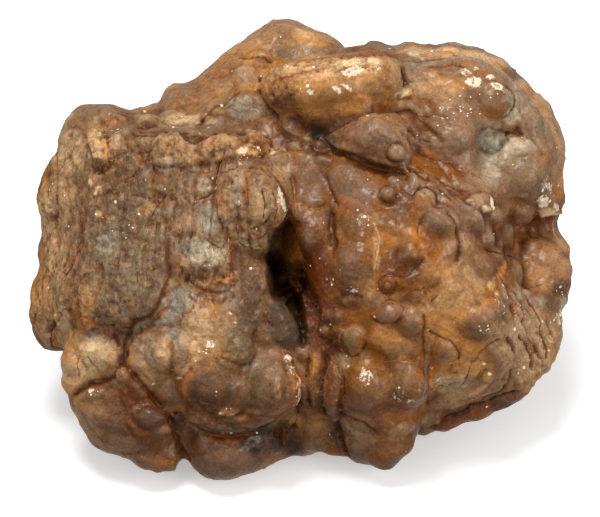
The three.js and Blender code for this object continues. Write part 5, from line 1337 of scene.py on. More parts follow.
    # lower left; its umber and near-black are painted shade, low on the stone
    ("purpleBrown", 115, 420, 56, 46, 10, 0.85), ("umber", 136, 426, 34, 36, 20, 0.6),
    ("tan", 92, 406, 16, 7, 20, 0.5), ("amber", 92, 404, 10, 4, 20, 0.5),
    ("mauve", 104, 394, 16, 5, -10, 0.5), ("chalk", 92, 391, 3.5, 2.5, 20, 0.95),
    ("chalk", 96, 394, 2, 2, 0, 0.6), ("olive", 92, 412, 7, 5, 30, 0.5),
    ("tan", 78, 418, 9, 14, -40, 0.5), ("mauve", 104, 432, 20, 12, 30, 0.4),
    ("redBrown", 128, 398, 12, 8, 30, 0.6), ("greyBrown", 118, 382, 9, 6, 0, 0.5),
    ("redBrown", 126, 428, 9, 9, 0, 0.5), ("olive", 141, 417, 10, 8, 20, 0.6),
    ("tan", 136, 408, 6, 3, -10, 0.5), ("tan", 158, 430, 14, 6, 20, 0.25),
    ("rust", 140, 432, 9, 3, 10, 0.45), ("redBrown", 165, 418, 7, 10, 30, 0.5),
    ("redBrown", 140, 442, 16, 5, 10, 0.5), ("tan", 148, 458, 26, 7, 12, 0.25),
    ("olive", 140, 462, 14, 5, 15, 0.4), ("tan", 112, 446, 16, 5, 30, 0.35),
    ("redBrown", 140, 386, 14, 10, 30, 0.5), ("redBrown", 152, 398, 9, 12, -40, 0.55),
    ("nearBlack", 178, 422, 7, 10, 0, 0.85), ("nearBlack", 180, 440, 5, 12, 0, 0.65),
    ("redBrown", 196, 408, 14, 8, 30, 0.6), ("tan", 226, 412, 9, 5, 0, 0.45),
    ("mauve", 206, 422, 14, 6, 25, 0.4), ("orange", 229, 413, 4, 2, 0, 0.5),
    ("chalk", 221, 412, 3, 1.5, 0, 0.6), ("olive", 242, 424, 14, 5, -15, 0.5),
    ("purpleBrown", 225, 454, 50, 22, 0, 0.8), ("umber", 232, 446, 60, 24, 0, 0.6),
    ("amber", 226, 440, 22, 3, 5, 0.55), ("mauve", 226, 460, 26, 10, 0, 0.45),
    ("chalk", 226, 450, 2, 2, 0, 0.5), ("nearBlack", 272, 432, 18, 11, 0, 0.75),
    ("redBrown", 262, 448, 14, 12, 0, 0.4), ("redBrown", 200, 440, 9, 16, 0, 0.35),
    ("chalk", 231, 433, 3, 1.5, 20, 0.5),
    # frosty spots; the one at 409, 402 is a painted glint
    ("chalk", 366, 378, 7, 9, 0, 0.7), ("chalk", 398, 396, 6, 8, 10, 0.45),
    ("chalk", 353, 290, 5, 3, 0, 0.6), ("chalk", 333, 272, 2, 6, 0, 0.5),
    ("chalk", 409, 402, 3, 3, 0, 0.8), ("chalk", 440, 380, 4, 3, 0, 0.5),
    ("chalk", 352, 70, 16, 6, -8, 0.3), ("chalk", 518, 362, 4, 8, 0, 0.5),
    ("chalk", 556, 318, 5, 7, 0, 0.5),
    # last shades, light and dark, laid thinly over the ones before; they are partly painted light and
    # shade: the paler right flank and the cream spot at 93, 346 are painted light, and the darker lower
    # parts painted shade
    ("darkAmber", 398, 262, 20, 16, 0, 0.4), ("tan", 462, 288, 26, 26, 15, 0.5),
    ("tan", 446, 300, 16, 16, 0, 0.35), ("umber", 356, 226, 18, 14, 40, 0.4),
    ("darkAmber", 446, 170, 20, 10, 20, 0.35), ("umber", 213, 392, 24, 20, 0, 0.45),
    ("darkAmber", 148, 417, 16, 12, 20, 0.5), ("nearBlack", 262, 438, 22, 14, 0, 0.4),
    ("umber", 252, 296, 14, 42, 0, 0.3), ("nearBlack", 284, 326, 18, 24, -20, 0.25),
    ("darkGrey", 242, 346, 14, 13, 0, 0.4), ("darkGrey", 130, 190, 26, 26, 0, 0.3),
    ("darkGrey", 126, 250, 34, 30, 0, 0.22), ("redBrown", 308, 238, 12, 16, 0, 0.3),
    ("umber", 215, 82, 40, 22, -32, 0.22), ("tan", 530, 352, 20, 34, -15, 0.4),
    ("tan", 78, 378, 16, 14, 0, 0.5), ("tan", 55, 250, 10, 70, 4, 0.3),
    ("amber", 330, 112, 34, 8, 0, 0.5), ("honey", 330, 108, 30, 6, 0, 0.35),
    ("blueGrey", 243, 108, 15, 9, 10, 0.4), ("blueGrey", 178, 303, 10, 15, 30, 0.4),
    ("tan", 206, 284, 20, 7, 0, 0.35), ("paleMauve", 185, 200, 8, 30, 0, 0.3),
    ("tan", 86, 410, 14, 12, 30, 0.3), ("redBrown", 526, 240, 12, 8, 0, 0.3),
    ("beige", 98, 352, 16, 13, 10, 0.4), ("chalk", 283, 206, 3, 15, -12, 0.8),
    ("beige", 78, 370, 14, 16, 0, 0.5), ("honey", 72, 384, 12, 9, 0, 0.4),
    ("nearBlack", 213, 394, 22, 18, 0, 0.35), ("umber", 213, 384, 22, 16, 0, 0.3),
    ("olive", 258, 384, 16, 22, 0, 0.5), ("darkGrey", 258, 398, 18, 12, 0, 0.4),
    ("nearBlack", 228, 424, 34, 9, 0, 0.35), ("rust", 214, 422, 10, 2.5, 10, 0.6),
    ("rust", 238, 416, 9, 2.5, -10, 0.5), ("orange", 224, 411, 5, 1.6, 0, 0.6),
    ("nearBlack", 146, 420, 18, 14, 20, 0.3), ("umber", 150, 450, 26, 16, 10, 0.4),
    ("nearBlack", 252, 300, 13, 36, 0, 0.22), ("nearBlack", 284, 326, 16, 22, -20, 0.25),
    ("darkAmber", 402, 262, 22, 16, 0, 0.35), ("darkAmber", 420, 288, 16, 9, 0, 0.35),
    ("amber", 424, 278, 16, 12, 0, 0.4), ("umber", 384, 396, 26, 16, 0, 0.35),
    ("umber", 406, 384, 13, 16, 0, 0.35), ("darkAmber", 300, 244, 12, 14, 0, 0.4),
    ("umber", 334, 388, 6, 26, 0, 0.4), ("umber", 356, 190, 26, 18, 35, 0.2),
    ("umber", 312, 190, 14, 20, 10, 0.2), ("tan", 526, 350, 26, 40, -20, 0.55),
    ("paleMauve", 520, 346, 14, 20, -20, 0.3), ("rust", 530, 362, 6, 20, -25, 0.35),
    ("purpleBrown", 506, 370, 8, 22, 12, 0.5), ("tan", 68, 152, 16, 22, 0, 0.45),
    ("mauve", 192, 200, 14, 30, 0, 0.45), ("honey", 330, 110, 36, 8, 0, 0.45),
    ("purpleBrown", 284, 98, 16, 14, 20, 0.4), ("umber", 206, 78, 34, 16, -32, 0.2),
    ("greyBrown", 244, 106, 18, 11, 0, 0.4), ("nearBlack", 264, 444, 16, 12, 0, 0.3),
    ("redBrown", 356, 416, 20, 9, 15, 0.35), ("darkAmber", 420, 268, 18, 14, 0, 0.5),
    ("darkAmber", 400, 262, 20, 14, 0, 0.35), ("amber", 384, 240, 9, 16, 0, 0.6),
    ("amber", 352, 238, 16, 12, 0, 0.4), ("purpleBrown", 346, 264, 16, 18, 0, 0.55),
    ("purpleBrown", 372, 386, 22, 26, 0, 0.35), ("honey", 466, 362, 22, 18, -20, 0.6),
    ("purpleBrown", 312, 186, 16, 18, 10, 0.3), ("purpleBrown", 360, 188, 28, 16, 35, 0.25),
    ("beige", 530, 350, 26, 40, -20, 0.4), ("honey", 540, 350, 16, 36, -20, 0.35),
    ("rust", 545, 262, 20, 20, 0, 0.4), ("amber", 540, 272, 14, 14, 0, 0.3),
    ("mauve", 268, 352, 20, 10, 0, 0.95), ("greyBrown", 262, 364, 18, 9, 0, 0.6),
    ("umber", 252, 282, 14, 36, 0, 0.35), ("nearBlack", 284, 324, 18, 24, -20, 0.3),
    ("redBrown", 308, 240, 14, 18, 0, 0.5), ("darkAmber", 316, 264, 12, 22, 0, 0.6),
    ("amber", 336, 266, 6, 20, 10, 0.4), ("honey", 440, 322, 20, 14, 0, 0.4),
    ("chalk", 279, 200, 4, 12, -14, 0.95), ("chalk", 283, 216, 3, 9, 0, 0.85),
    ("greyWhite", 237, 192, 6, 16, 5, 0.5), ("beige", 258, 204, 7, 16, 0, 0.35),
    ("mauve", 246, 240, 18, 9, 0, 0.4), ("greyWhite", 250, 238, 8, 6, 0, 0.3),
    ("blueGrey", 205, 256, 22, 11, 5, 0.3), ("blueGrey", 208, 222, 9, 12, 0, 0.4),
    ("blueGrey", 182, 300, 9, 12, 30, 0.4), ("tan", 88, 150, 24, 30, 0, 0.35),
    ("tan", 66, 240, 16, 70, 4, 0.3), ("greyWhite", 222, 228, 12, 18, 0, 0.25),
    ("darkAmber", 404, 294, 14, 8, 0, 0.3), ("amber", 408, 232, 14, 6, 0, 0.5),
    ("darkAmber", 330, 300, 10, 20, 0, 0.4), ("honey", 440, 282, 20, 22, 0, 0.4),
    ("honey", 458, 300, 14, 20, 10, 0.4), ("purpleBrown", 478, 326, 14, 14, 0, 0.6),
    ("mauve", 486, 320, 8, 12, 0, 0.4), ("purpleBrown", 350, 264, 17, 22, 5, 0.4),
    ("purpleBrown", 436, 226, 13, 11, 10, 0.35), ("mauve", 446, 214, 14, 8, 20, 0.4),
    ("amber", 430, 250, 10, 8, 0, 0.4), ("honey", 392, 341, 18, 10, 0, 0.5),
    ("purpleBrown", 411, 328, 10, 14, 0, 0.5), ("olive", 352, 341, 8, 9, 0, 0.5),
    ("tan", 545, 262, 20, 22, 0, 0.45), ("amber", 536, 256, 12, 18, 0, 0.35),
    ("fibreBrown", 256, 210, 30, 38, 0, 0.55), ("greyWhite", 236, 192, 6, 18, 3, 0.45),
    ("redBrown", 247, 194, 2.5, 22, -2, 0.35), ("beige", 262, 204, 6, 14, 0, 0.3),
    ("chalk", 280, 201, 3.5, 12, -14, 0.95), ("chalk", 284, 216, 2.5, 9, 0, 0.85),
    ("paleMauve", 185, 205, 12, 30, 0, 0.4), ("beige", 56, 232, 12, 60, 4, 0.3),
    ("beige", 70, 150, 14, 20, 0, 0.35), ("beige", 78, 374, 12, 14, 0, 0.5),
    ("greyWhite", 243, 108, 17, 11, 10, 0.4), ("darkAmber", 318, 128, 26, 6, 5, 0.5),
    ("nearBlack", 318, 135, 10, 6, 0, 0.7), ("darkAmber", 380, 159, 22, 5, 20, 0.6),
    ("redBrown", 308, 238, 12, 14, 0, 0.5), ("amber", 356, 228, 16, 12, 40, 0.4),
    ("purpleBrown", 389, 314, 13, 9, -10, 0.4), ("oliveGrey", 512, 162, 16, 12, 0, 0.4),
    ("fibreBrown", 528, 182, 16, 14, 0, 0.5), ("nearBlack", 213, 392, 20, 16, 0, 0.35),
    ("umber", 260, 394, 16, 20, 0, 0.4), ("darkAmber", 147, 417, 16, 12, 20, 0.5),
    ("nearBlack", 262, 438, 18, 13, 0, 0.5), ("redBrown", 333, 390, 6, 24, 0, 0.5),
    ("tan", 355, 422, 14, 9, 10, 0.4), ("rust", 466, 416, 40, 6, -18, 0.5),
    ("amber", 526, 240, 12, 8, 0, 0.5), ("tan", 505, 374, 10, 16, 10, 0.4),
    ("rust", 534, 330, 10, 30, -20, 0.3), ("purpleBrown", 356, 228, 16, 13, 40, 0.4),
    ("amber", 425, 286, 14, 12, 0, 0.5), ("darkAmber", 425, 284, 12, 9, 0, 0.3),
    ("mauve", 255, 239, 15, 9, 0, 0.5), ("greyWhite", 250, 236, 7, 5, 0, 0.35),
    ("darkAmber", 448, 170, 18, 9, 20, 0.45), ("tan", 152, 362, 18, 22, -15, 0.4),
    ("greyWhite", 146, 346, 12, 12, 0, 0.3), ("beige", 78, 376, 12, 14, 0, 0.35),
    ("darkAmber", 400, 262, 18, 13, 0, 0.3), ("darkGrey", 284, 326, 16, 20, -20, 0.4),
    ("amber", 396, 240, 14, 6, 0, 0.4), ("nearBlack", 146, 418, 15, 11, 20, 0.25),
    ("umber", 392, 446, 20, 14, -20, 0.3), ("umber", 316, 438, 16, 12, 0, 0.3),
    ("amber", 446, 170, 18, 9, 20, 0.6), ("umber", 308, 237, 10, 14, 0, 0.4),
    ("umber", 356, 226, 16, 13, 40, 0.25), ("tan", 525, 240, 8, 8, 0, 0.3),
    ("nearBlack", 318, 135, 9, 6, 0, 0.5), ("umber", 382, 158, 16, 5, 20, 0.4),
    ("umber", 130, 184, 20, 16, 0, 0.3), ("fibreBrown", 208, 284, 16, 6, 0, 0.4),
    ("tan", 255, 238, 14, 9, 0, 0.4), ("darkGrey", 284, 325, 16, 20, -20, 0.5),
    ("nearBlack", 284, 328, 13, 17, -20, 0.25), ("umber", 213, 390, 17, 16, 0, 0.4),
    ("nearBlack", 146, 418, 14, 11, 20, 0.25), ("nearBlack", 262, 440, 20, 12, 0, 0.5),
    ("redBrown", 333, 389, 5, 14, 0, 0.35), ("cream", 90, 366, 13, 10, 0, 0.35),
    ("honey", 74, 377, 12, 14, 0, 0.4), ("cream", 93, 346, 7, 5, 0, 0.5),
    ("amber", 36, 288, 5, 28, 0, 0.45), ("honey", 37, 292, 4, 24, 0, 0.4),
    ("fibreBrown", 100, 114, 24, 8, 0, 0.5), ("blueGrey", 178, 304, 8, 12, 30, 0.35),
    ("oliveGrey", 120, 300, 18, 16, 0, 0.35), ("cream", 178, 119, 12, 5, -6, 0.4),
    ("mauve", 446, 214, 12, 8, 20, 0.4), ("paleMauve", 528, 348, 14, 20, -20, 0.3),
    ("olive", 242, 346, 14, 12, 0, 0.4), ("umber", 360, 188, 20, 14, 35, 0.15),
    ("umber", 312, 184, 12, 14, 10, 0.2), ("umber", 528, 182, 14, 12, 0, 0.25),
    ("darkAmber", 410, 299, 12, 6, 0, 0.7), ("tan", 396, 351, 12, 7, 0, 0.6),
    ("beige", 455, 386, 16, 10, -15, 0.6), ("beige", 500, 340, 12, 16, 0, 0.45),
    ("honey", 480, 372, 12, 9, 0, 0.55), ("tan", 450, 401, 14, 8, -20, 0.6),
    ("beige", 45, 212, 7, 24, 4, 0.6), ("beige", 60, 319, 9, 13, 0, 0.7),
    ("tan", 85, 300, 12, 14, 0, 0.45), ("tan", 160, 380, 12, 10, 20, 0.5),
    ("tan", 90, 430, 12, 10, 30, 0.4), ("tan", 124, 441, 14, 7, 20, 0.35),
    ("nearBlack", 290, 446, 12, 8, 0, 0.6), ("umber", 236, 261, 9, 12, 0, 0.5),
    ("umber", 165, 262, 7, 18, 0, 0.45), ("umber", 285, 396, 11, 12, 0, 0.5),
    ("olive", 220, 341, 12, 10, 0, 0.4), ("greyBrown", 230, 365, 14, 8, 0, 0.5),
    ("umber", 230, 366, 14, 8, 0, 0.3), ("mauve", 279, 370, 12, 12, 0, 0.6),
    ("umber", 96, 401, 12, 8, 0, 0.3), ("redBrown", 120, 390, 12, 9, 0, 0.35),
    ("darkGrey", 150, 232, 12, 16, 0, 0.3), ("darkAmber", 345, 301, 14, 6, 0, 0.5),
    ("darkAmber", 440, 161, 10, 6, 20, 0.35), ("umber", 200, 440, 14, 10, 0, 0.35),
    ("umber", 165, 440, 8, 8, 0, 0.35), ("nearBlack", 340, 430, 9, 8, 0, 0.35),
    ("umber", 360, 446, 14, 8, 0, 0.3), ("tan", 90, 128, 26, 7, 0, 0.4),
    ("honey", 406, 235, 18, 8, 0, 0.3), ("mauve", 322, 215, 9, 10, 0, 0.35),
    ("mauve", 400, 215, 9, 8, 0, 0.4), ("blueGrey", 171, 331, 9, 8, 20, 0.5),
    ("greyWhite", 230, 300, 10, 14, 0, 0.3), ("oliveGrey", 150, 190, 14, 12, 0, 0.4),
    ("greyBrown", 180, 358, 9, 12, 0, 0.45), ("umber", 260, 160, 10, 6, 0, 0.3),
    ("umber", 300, 210, 8, 12, 0, 0.25), ("tan", 525, 349, 18, 32, -20, 0.35),
    ("paleMauve", 518, 345, 10, 18, -20, 0.35), ("honey", 78, 375, 10, 11, 0, 0.5),
    ("umber", 213, 390, 15, 14, 0, 0.3), ("nearBlack", 262, 441, 18, 11, 0, 0.4),
    ("darkGrey", 284, 326, 14, 18, -20, 0.5), ("nearBlack", 284, 328, 13, 16, -20, 0.25),
    ("redBrown", 308, 238, 10, 12, 0, 0.45), ("darkGrey", 242, 346, 12, 10, 0, 0.35),
    ("redBrown", 333, 389, 5, 13, 0, 0.4), ("nearBlack", 318, 135, 8, 5, 0, 0.4),
    ("paleMauve", 530, 335, 20, 34, -20, 0.5), ("mauve", 505, 320, 12, 26, -10, 0.35),
    ("purpleBrown", 514, 378, 14, 9, -40, 0.35), ("beige", 530, 342, 16, 26, -20, 0.45),
    ("cream", 80, 374, 10, 11, 0, 0.45), ("beige", 456, 386, 15, 9, -15, 0.5),
    ("honey", 396, 351, 13, 7, 0, 0.5), ("honey", 480, 372, 12, 9, 0, 0.45),
    ("tan", 452, 400, 14, 8, -20, 0.4), ("beige", 45, 212, 6, 20, 4, 0.5),
    ("beige", 60, 319, 8, 11, 0, 0.55), ("honey", 85, 300, 10, 12, 0, 0.4),
    ("tan", 430, 420, 10, 7, -20, 0.35), ("rust", 350, 401, 12, 9, 0, 0.3),
    ("tan", 360, 360, 10, 9, 0, 0.35), ("honey", 420, 248, 10, 10, 0, 0.25),
    ("amber", 370, 250, 9, 14, 0, 0.5), ("purpleBrown", 380, 300, 9, 8, 0, 0.4),
    ("darkGrey", 150, 268, 16, 16, 0, 0.3), ("umber", 235, 260, 8, 12, 0, 0.4),
    ("umber", 165, 262, 6, 16, 0, 0.4), ("nearBlack", 290, 446, 12, 8, 0, 0.5),
    ("umber", 96, 401, 12, 8, 0, 0.3), ("umber", 250, 421, 12, 6, 0, 0.3),
    ("umber", 190, 421, 12, 8, 0, 0.3), ("greyBrown", 280, 369, 10, 10, 0, 0.5),
    ("darkAmber", 410, 299, 11, 5, 0, 0.4),
    # the pit: amber and red-brown walls, with near-black painted shade in its depths
    ("darkAmber", 306, 262, 20, 46, -14, 0.75), ("redBrown", 318, 300, 13, 44, 0, 0.7),
    ("darkAmber", 290, 216, 7, 26, -16, 0.85), ("redBrown", 312, 300, 10, 40, -4, 0.5),
    ("amber", 290, 240, 10, 26, -16, 0.65), ("rust", 287, 228, 6, 16, 10, 0.35),
    ("olive", 288, 254, 4, 14, -14, 0.6), ("amber", 293, 264, 3, 14, -20, 0.6),
    ("nearBlack", 274, 276, 7, 24, -3, 0.9), ("nearBlack", 288, 292, 11, 8, 0, 0.9),
    ("nearBlack", 301, 318, 7, 30, -8, 0.95), ("darkAmber", 310, 278, 8, 18, 0, 0.5),
]

# where pale grains lie thick on the crust: x, y, half width, half height, turn in degrees, share
grainSpots = [
    (366, 378, 7, 9, 0, 1.0), (354, 72, 14, 6, -8, 0.8), (484, 326, 9, 12, -15, 0.7),
    (398, 396, 7, 10, 20, 0.7), (478, 88, 26, 12, 20, 0.5), (548, 194, 12, 18, 0, 0.7),
    (555, 316, 10, 12, 0, 0.6), (522, 366, 8, 10, 0, 0.7), (362, 214, 5, 16, -30, 0.6),
    (285, 206, 4, 18, -10, 0.8), (248, 152, 14, 7, 0, 0.7), (272, 152, 7, 4, 0, 0.6),
    (460, 112, 22, 14, 0, 0.35), (442, 122, 9, 6, 0, 0.5), (120, 130, 9, 7, 0, 0.5),
    (92, 391, 7, 4, 0, 0.7), (205, 354, 18, 8, -20, 0.45), (295, 384, 5, 22, 0, 0.6),
    (331, 274, 4, 14, 0, 0.6), (355, 290, 5, 4, 0, 0.8), (215, 394, 10, 8, 0, 0.4),
    (228, 412, 9, 5, 0, 0.4), (500, 300, 8, 16, 0, 0.35), (476, 214, 5, 6, 0, 0.6),
    (412, 402, 4, 4, 0, 0.8), (438, 380, 4, 5, 0, 0.7), (424, 252, 5, 6, 0, 0.7),
    (205, 255, 22, 12, 0, 0.3), (304, 84, 14, 8, 0, 0.4), (310, 66, 30, 5, -5, 0.4),
    (545, 345, 12, 24, -15, 0.4), (132, 232, 10, 10, 0, 0.4), (118, 116, 9, 5, 0, 0.5),
    (350, 352, 10, 8, 0, 0.4), (325, 325, 6, 8, 0, 0.4), (560, 290, 5, 12, 0, 0.5),
]


def mixIn(colour, name, share):
    return colour + (np.array(colours[name]) - colour) * share[:, None]


# clouds of colour over the whole crust, on amber:
# colour, size in millimetres, seed, the noise where it begins and where it is full, strength
crustClouds = [
    ("honey", 16, 200, -0.1, 0.6, 0.7),
    ("mauve", 20, 220, 0.0, 0.5, 0.9),
    ("fibreBrown", 24, 230, 0.0, 0.4, 0.85),
    ("purpleBrown", 9, 235, 0.0, 0.5, 0.6),
    ("redBrown", 5, 210, 0.1, 0.6, 0.5),
    ("greyWhite", 11, 240, 0.4, 0.8, 0.6),
]


def wholeCrust():
    # what the stone is like where no patch is laid over it, and all of its far side
    colour = np.tile(colours["amber"], (len(points), 1))
    for name, size, seed, begins, full, strength in crustClouds:
        share = smooth(begins, full, layered(points, size, seed, 3)) * strength
        colour = mixIn(colour, name, share)
    return colour


# the edges of the patches: soft, and frayed by noises of these sizes in turn
patchEdge = {
    "fraySizes": (2.4, 3.4, 1.7, 2.8, 4.4),  # millimetres
    "mostFray": 0.45,
    "broadArea": 90,  # half width times half height
    "broadSoft": 0.4,
    "smallSoft": 0.25,
    "reach": 1.9,  # how far out a patch is looked at, in its own sizes
    "depthShare": 0.15,
}

# where colour laid on the face still holds: round the rim and down the walls of the pit
inView = np.maximum(smooth(-0.4, 0.0, normals @ outOfFace), inPit)


def paint():
    colour = wholeCrust()
    frost = np.zeros(len(points))
    frays = [layered(points, size, 1000 + 7 * i, 3) for i, size in enumerate(patchEdge["fraySizes"])]
    for number, (name, x, y, wide, high, turn, strength) in enumerate(patches):
        near, reach = reachFrom(x, y, wide, high, turn, patchEdge["reach"], patchEdge["depthShare"])
        soft = patchEdge["broadSoft"] if wide * high > patchEdge["broadArea"] else patchEdge["smallSoft"]
        frayed = min(patchEdge["mostFray"], 2.2 / math.sqrt(wide * high) + 0.15)  # small ones fray more
        fray = frays[number % len(frays)][near] * frayed
        share = np.zeros(len(points))
        share[near] = smooth(1 + soft, 1 - soft, reach + fray) * strength * inView[near]
        if name == "chalk":
            frost = np.maximum(frost, share)
        else:
            colour = mixIn(colour, name, share)
            frost = frost * (1 - 0.7 * share)  # a later patch covers most of it
    return colour, frost


def paleGrains():
    share = np.full(len(points), 0.012)  # a few grains lie everywhere
    for x, y, wide, high, turn, strength in grainSpots:
        near, reach = reachFrom(x, y, wide, high, turn, 1.5, 0.2)
        share[near] = np.maximum(share[near], smooth(1.3, 0.5, reach) * strength * onFront[near])
    return share


def redness(colour, share):
    # how far red outweighs green: high for amber, low for grey and tan
    return colour[:, 0] - share * colour[:, 1]


def shadeByForm(colour):
    # painted light and shade by form: the tops of the lumps are paler with a painted sheen; the feet of the
    # lumps, the hollows and the pit are darker with painted shade
    # mauve on the tops of the lumps: a painted sheen
    crestSheen = smooth(0.2, 0.75, crest + 0.25 * layered(points, 1.6, 260, 3))
    colour = mixIn(colour, "mauve", crestSheen * 0.3 * (1 - dullZone))
    # dark amber round the feet of the lumps: painted shade
    footShade = smooth(0.12, 0.0, crest) * onFront * (1 - dullZone)
    colour = mixIn(colour, "darkAmber", footShade * smooth(0.02, 0.1, redness(colour, 2.1)) * 0.3)
    colour = mixIn(colour, "darkAmber", smooth(0.3, 0.05, crest) * smooth(0.0, 0.06, crest) * 0.3)
    # red-brown in the hollows: partly rust, partly painted shade; the near-black in them and the dark amber
    # in broad hollows are painted shade
    colour = mixIn(colour, "redBrown", smooth(0.03, 0.22, fineHollow) * (0.5 + 0.3 * dullZone))
    colour = mixIn(colour, "nearBlack", smooth(0.14, 0.5, fineHollow) * 0.65)
    # paler raised points: a painted highlight
    colour = mixIn(colour, "paleMauve", smooth(0.05, 0.35, -fineHollow) * 0.15)
    colour = mixIn(colour, "darkAmber", smooth(0.08, 0.7, wideHollow) * 0.7)
    # the pit darker: painted shade
    colour = mixIn(colour, "nearBlack", inPit * 0.3)
    return np.clip(1.05 * np.clip(colour, 0, 1) ** 1.1, 0, 1)  # deeper tones between the pale ones


def clearShare(colour):
    # where the crust is smooth and glassy: most where it is amber or very dark, none in the dull zones
    clear = np.maximum(smooth(0.0, 0.12, redness(colour, 1.9)), smooth(0.16, 0.06, colour[:, 0]))
    return np.maximum(clear, 0.6) * (1 - dullZone)


stoneColour, frostPaint = paint()
stoneColour = shadeByForm(stoneColour)
print("colours laid,", len(patches), "patches")


def giveNumber(name, values):
    layer = stonePiece.data.attributes.new(name, "FLOAT", "POINT")
    layer.data.foreach_set("value", values.astype(np.float32))


def giveColour(name, values):
    flat = np.concatenate([values, np.ones((len(values), 1))], 1)
    layer = stonePiece.data.attributes.new(name, "FLOAT_COLOR", "POINT")
    layer.data.foreach_set("color", flat.astype(np.float32).ravel())


giveColour("stoneColour", stoneColour)
giveColour("lineColour", np.array(list(colours.values()))[lineTone])
giveNumber("lineSide", np.where(onFront > 0.02, lineSide, 9.0))
giveNumber("dull", np.clip(dullZone, 0, 1))
giveNumber("fibre", fibreZone)
giveNumber("grains", paleGrains())
giveNumber("frost", frostPaint)
giveNumber("clear", clearShare(stoneColour))
stonePiece.data.shade_smooth()


# the finish: a satin quartz crust, dull where it is fibrous or rough
finish = {
    "gloss": 0.27,
    "dullGloss": 0.78,
    "ior": 1.53,
    "shine": 0.16,
    "coat": 0.1,
    "coatGloss": 0.18,
    "glow": 0.16,
    "glowReach": 0.002,  # metres
    "glowColour": (1.0, 0.4, 0.12),
    "threadTurn": (tilt - math.pi / 2, 0, math.radians(-8)),  # threads run up the face
    "threadShape": (1, 0.1, 0.4),
    "crackWobble": 0.0012,  # metres
    "tangleScale": 900,
    "crackCells": 3.6,  # millimetres, as are the rest
    "grainCells": (0.6, 1.1),
    "waves": 0.24,
    "grit": 0.11,
    "threads": 0.28,
    "crackDepth": 0.12,
    "lineDepth": 0.15,
    "grainRise": 0.1,
}

# what the finish lays over the painted colours, in linear light
veils = {
    "bloom": (0.46, 0.33, 0.21),
    "stain": (0.30, 0.10, 0.02),
    "speck": (0.07, 0.022, 0.006),
    "darkThread": (0.070, 0.034, 0.015),
    "paleThread": (0.36, 0.25, 0.15),
    "crack": (0.05, 0.014, 0.004),
    "frost": (0.74, 0.64, 0.50),
    "grain": (0.86, 0.76, 0.62),
}

material = bpy.data.materials.new("chalcedonyCrust")
material.use_nodes = True
tree = material.node_tree
shader = tree.nodes["Principled BSDF"]
rangeSlots = ("Value", "From Min", "From Max", "To Min", "To Max")


def node(kind, **settings):
    made = tree.nodes.new(kind)
    for key, value in settings.items():
        setattr(made, key, value)
    return made


def put(slot, value):
    if isinstance(value, bpy.types.NodeSocket):
        tree.links.new(value, slot)
    elif isinstance(value, tuple):
        slot.default_value = value + (1,)
    else:
        slot.default_value = value


def maths(operation, *values):
    made = node("ShaderNodeMath", operation=operation)
    for slot, value in zip(made.inputs, values):
        put(slot, value)
    return made.outputs[0]


def ramp(value, low, high, first=0.0, last=1.0):
    made = node("ShaderNodeMapRange", interpolation_type="SMOOTHSTEP")
    for name, number in zip(rangeSlots, (value, low, high, first, last)):
        put(made.inputs[name], number)
    return made.outputs["Result"]


def mix(share, under, over, blend="MIX"):
    made = node("ShaderNodeMix", data_type="RGBA", blend_type=blend)
    for number, value in zip((0, 6, 7), (share, under, over)):  # the factor and the two colours
        put(made.inputs[number], value)
    return made.outputs[2]


def given(name, output="Fac"):
    return node("ShaderNodeAttribute", attribute_name=name).outputs[output]


place = node("ShaderNodeTexCoord").outputs["Object"]


def cloud(size, detail, rough=0.6, vector=place):
    made = node("ShaderNodeTexNoise")
    put(made.inputs["Vector"], vector)
    put(made.inputs["Scale"], 1 / (size * mm))
    put(made.inputs["Detail"], detail)
    put(made.inputs["Roughness"], rough)
    return made.outputs["Fac"]


def cells(size, vector=place, **settings):
    made = node("ShaderNodeTexVoronoi", **settings)
    put(made.inputs["Vector"], vector)
    put(made.inputs["Scale"], 1 / (size * mm))
    return made.outputs


def threadSpace():
    turned = node("ShaderNodeMapping", vector_type="POINT")
    put(turned.inputs["Vector"], place)
    turned.inputs["Rotation"].default_value = finish["threadTurn"]
    turned.inputs["Scale"].default_value = finish["threadShape"]
    return turned.outputs["Vector"]


coarse = cloud(4.5, 4)
fine = cloud(1.2, 5, 0.65)
dust = cloud(0.4, 3, 0.7)
grit = cloud(0.9, 8, 0.85)
threads = cloud(0.6, 5, 0.7, threadSpace())
dull = given("dull")
fibre = given("fibre")
clear = given("clear")


def crackShare():
    # fine cracks between cells, broken up
    tangle = node("ShaderNodeTexNoise")
    put(tangle.inputs["Scale"], finish["tangleScale"])
    wobble = node("ShaderNodeMix", data_type="VECTOR")
    for number, value in zip((0, 4, 5), (finish["crackWobble"], place, tangle.outputs["Color"])):
        put(wobble.inputs[number], value)
    edge = cells(finish["crackCells"], wobble.outputs[1], feature="DISTANCE_TO_EDGE")["Distance"]
    share = maths("MULTIPLY", ramp(edge, 0.1, 0.015), ramp(fine, 0.44, 0.56))
    return maths("MULTIPLY", share, maths("MULTIPLY_ADD", dull, 0.15, 0.3))


def lineShare():
    # crisp, with edges frayed by the fine noise
    side = maths("ABSOLUTE", given("lineSide"))
    frayed = maths("ADD", side, ramp(fine, 0.3, 0.7, -0.5, 0.7))
    return maths("MULTIPLY", ramp(frayed, 1.15, 0.65), ramp(coarse, 0.35, 0.55, 0.3, 0.85))


def frostShare():
    # chalky spots with ragged edges
    frost = maths("ADD", given("frost"), ramp(grit, 0.36, 0.64, -0.5, 0.5))
    return maths("MULTIPLY", ramp(frost, 0.45, 0.75), 0.85)


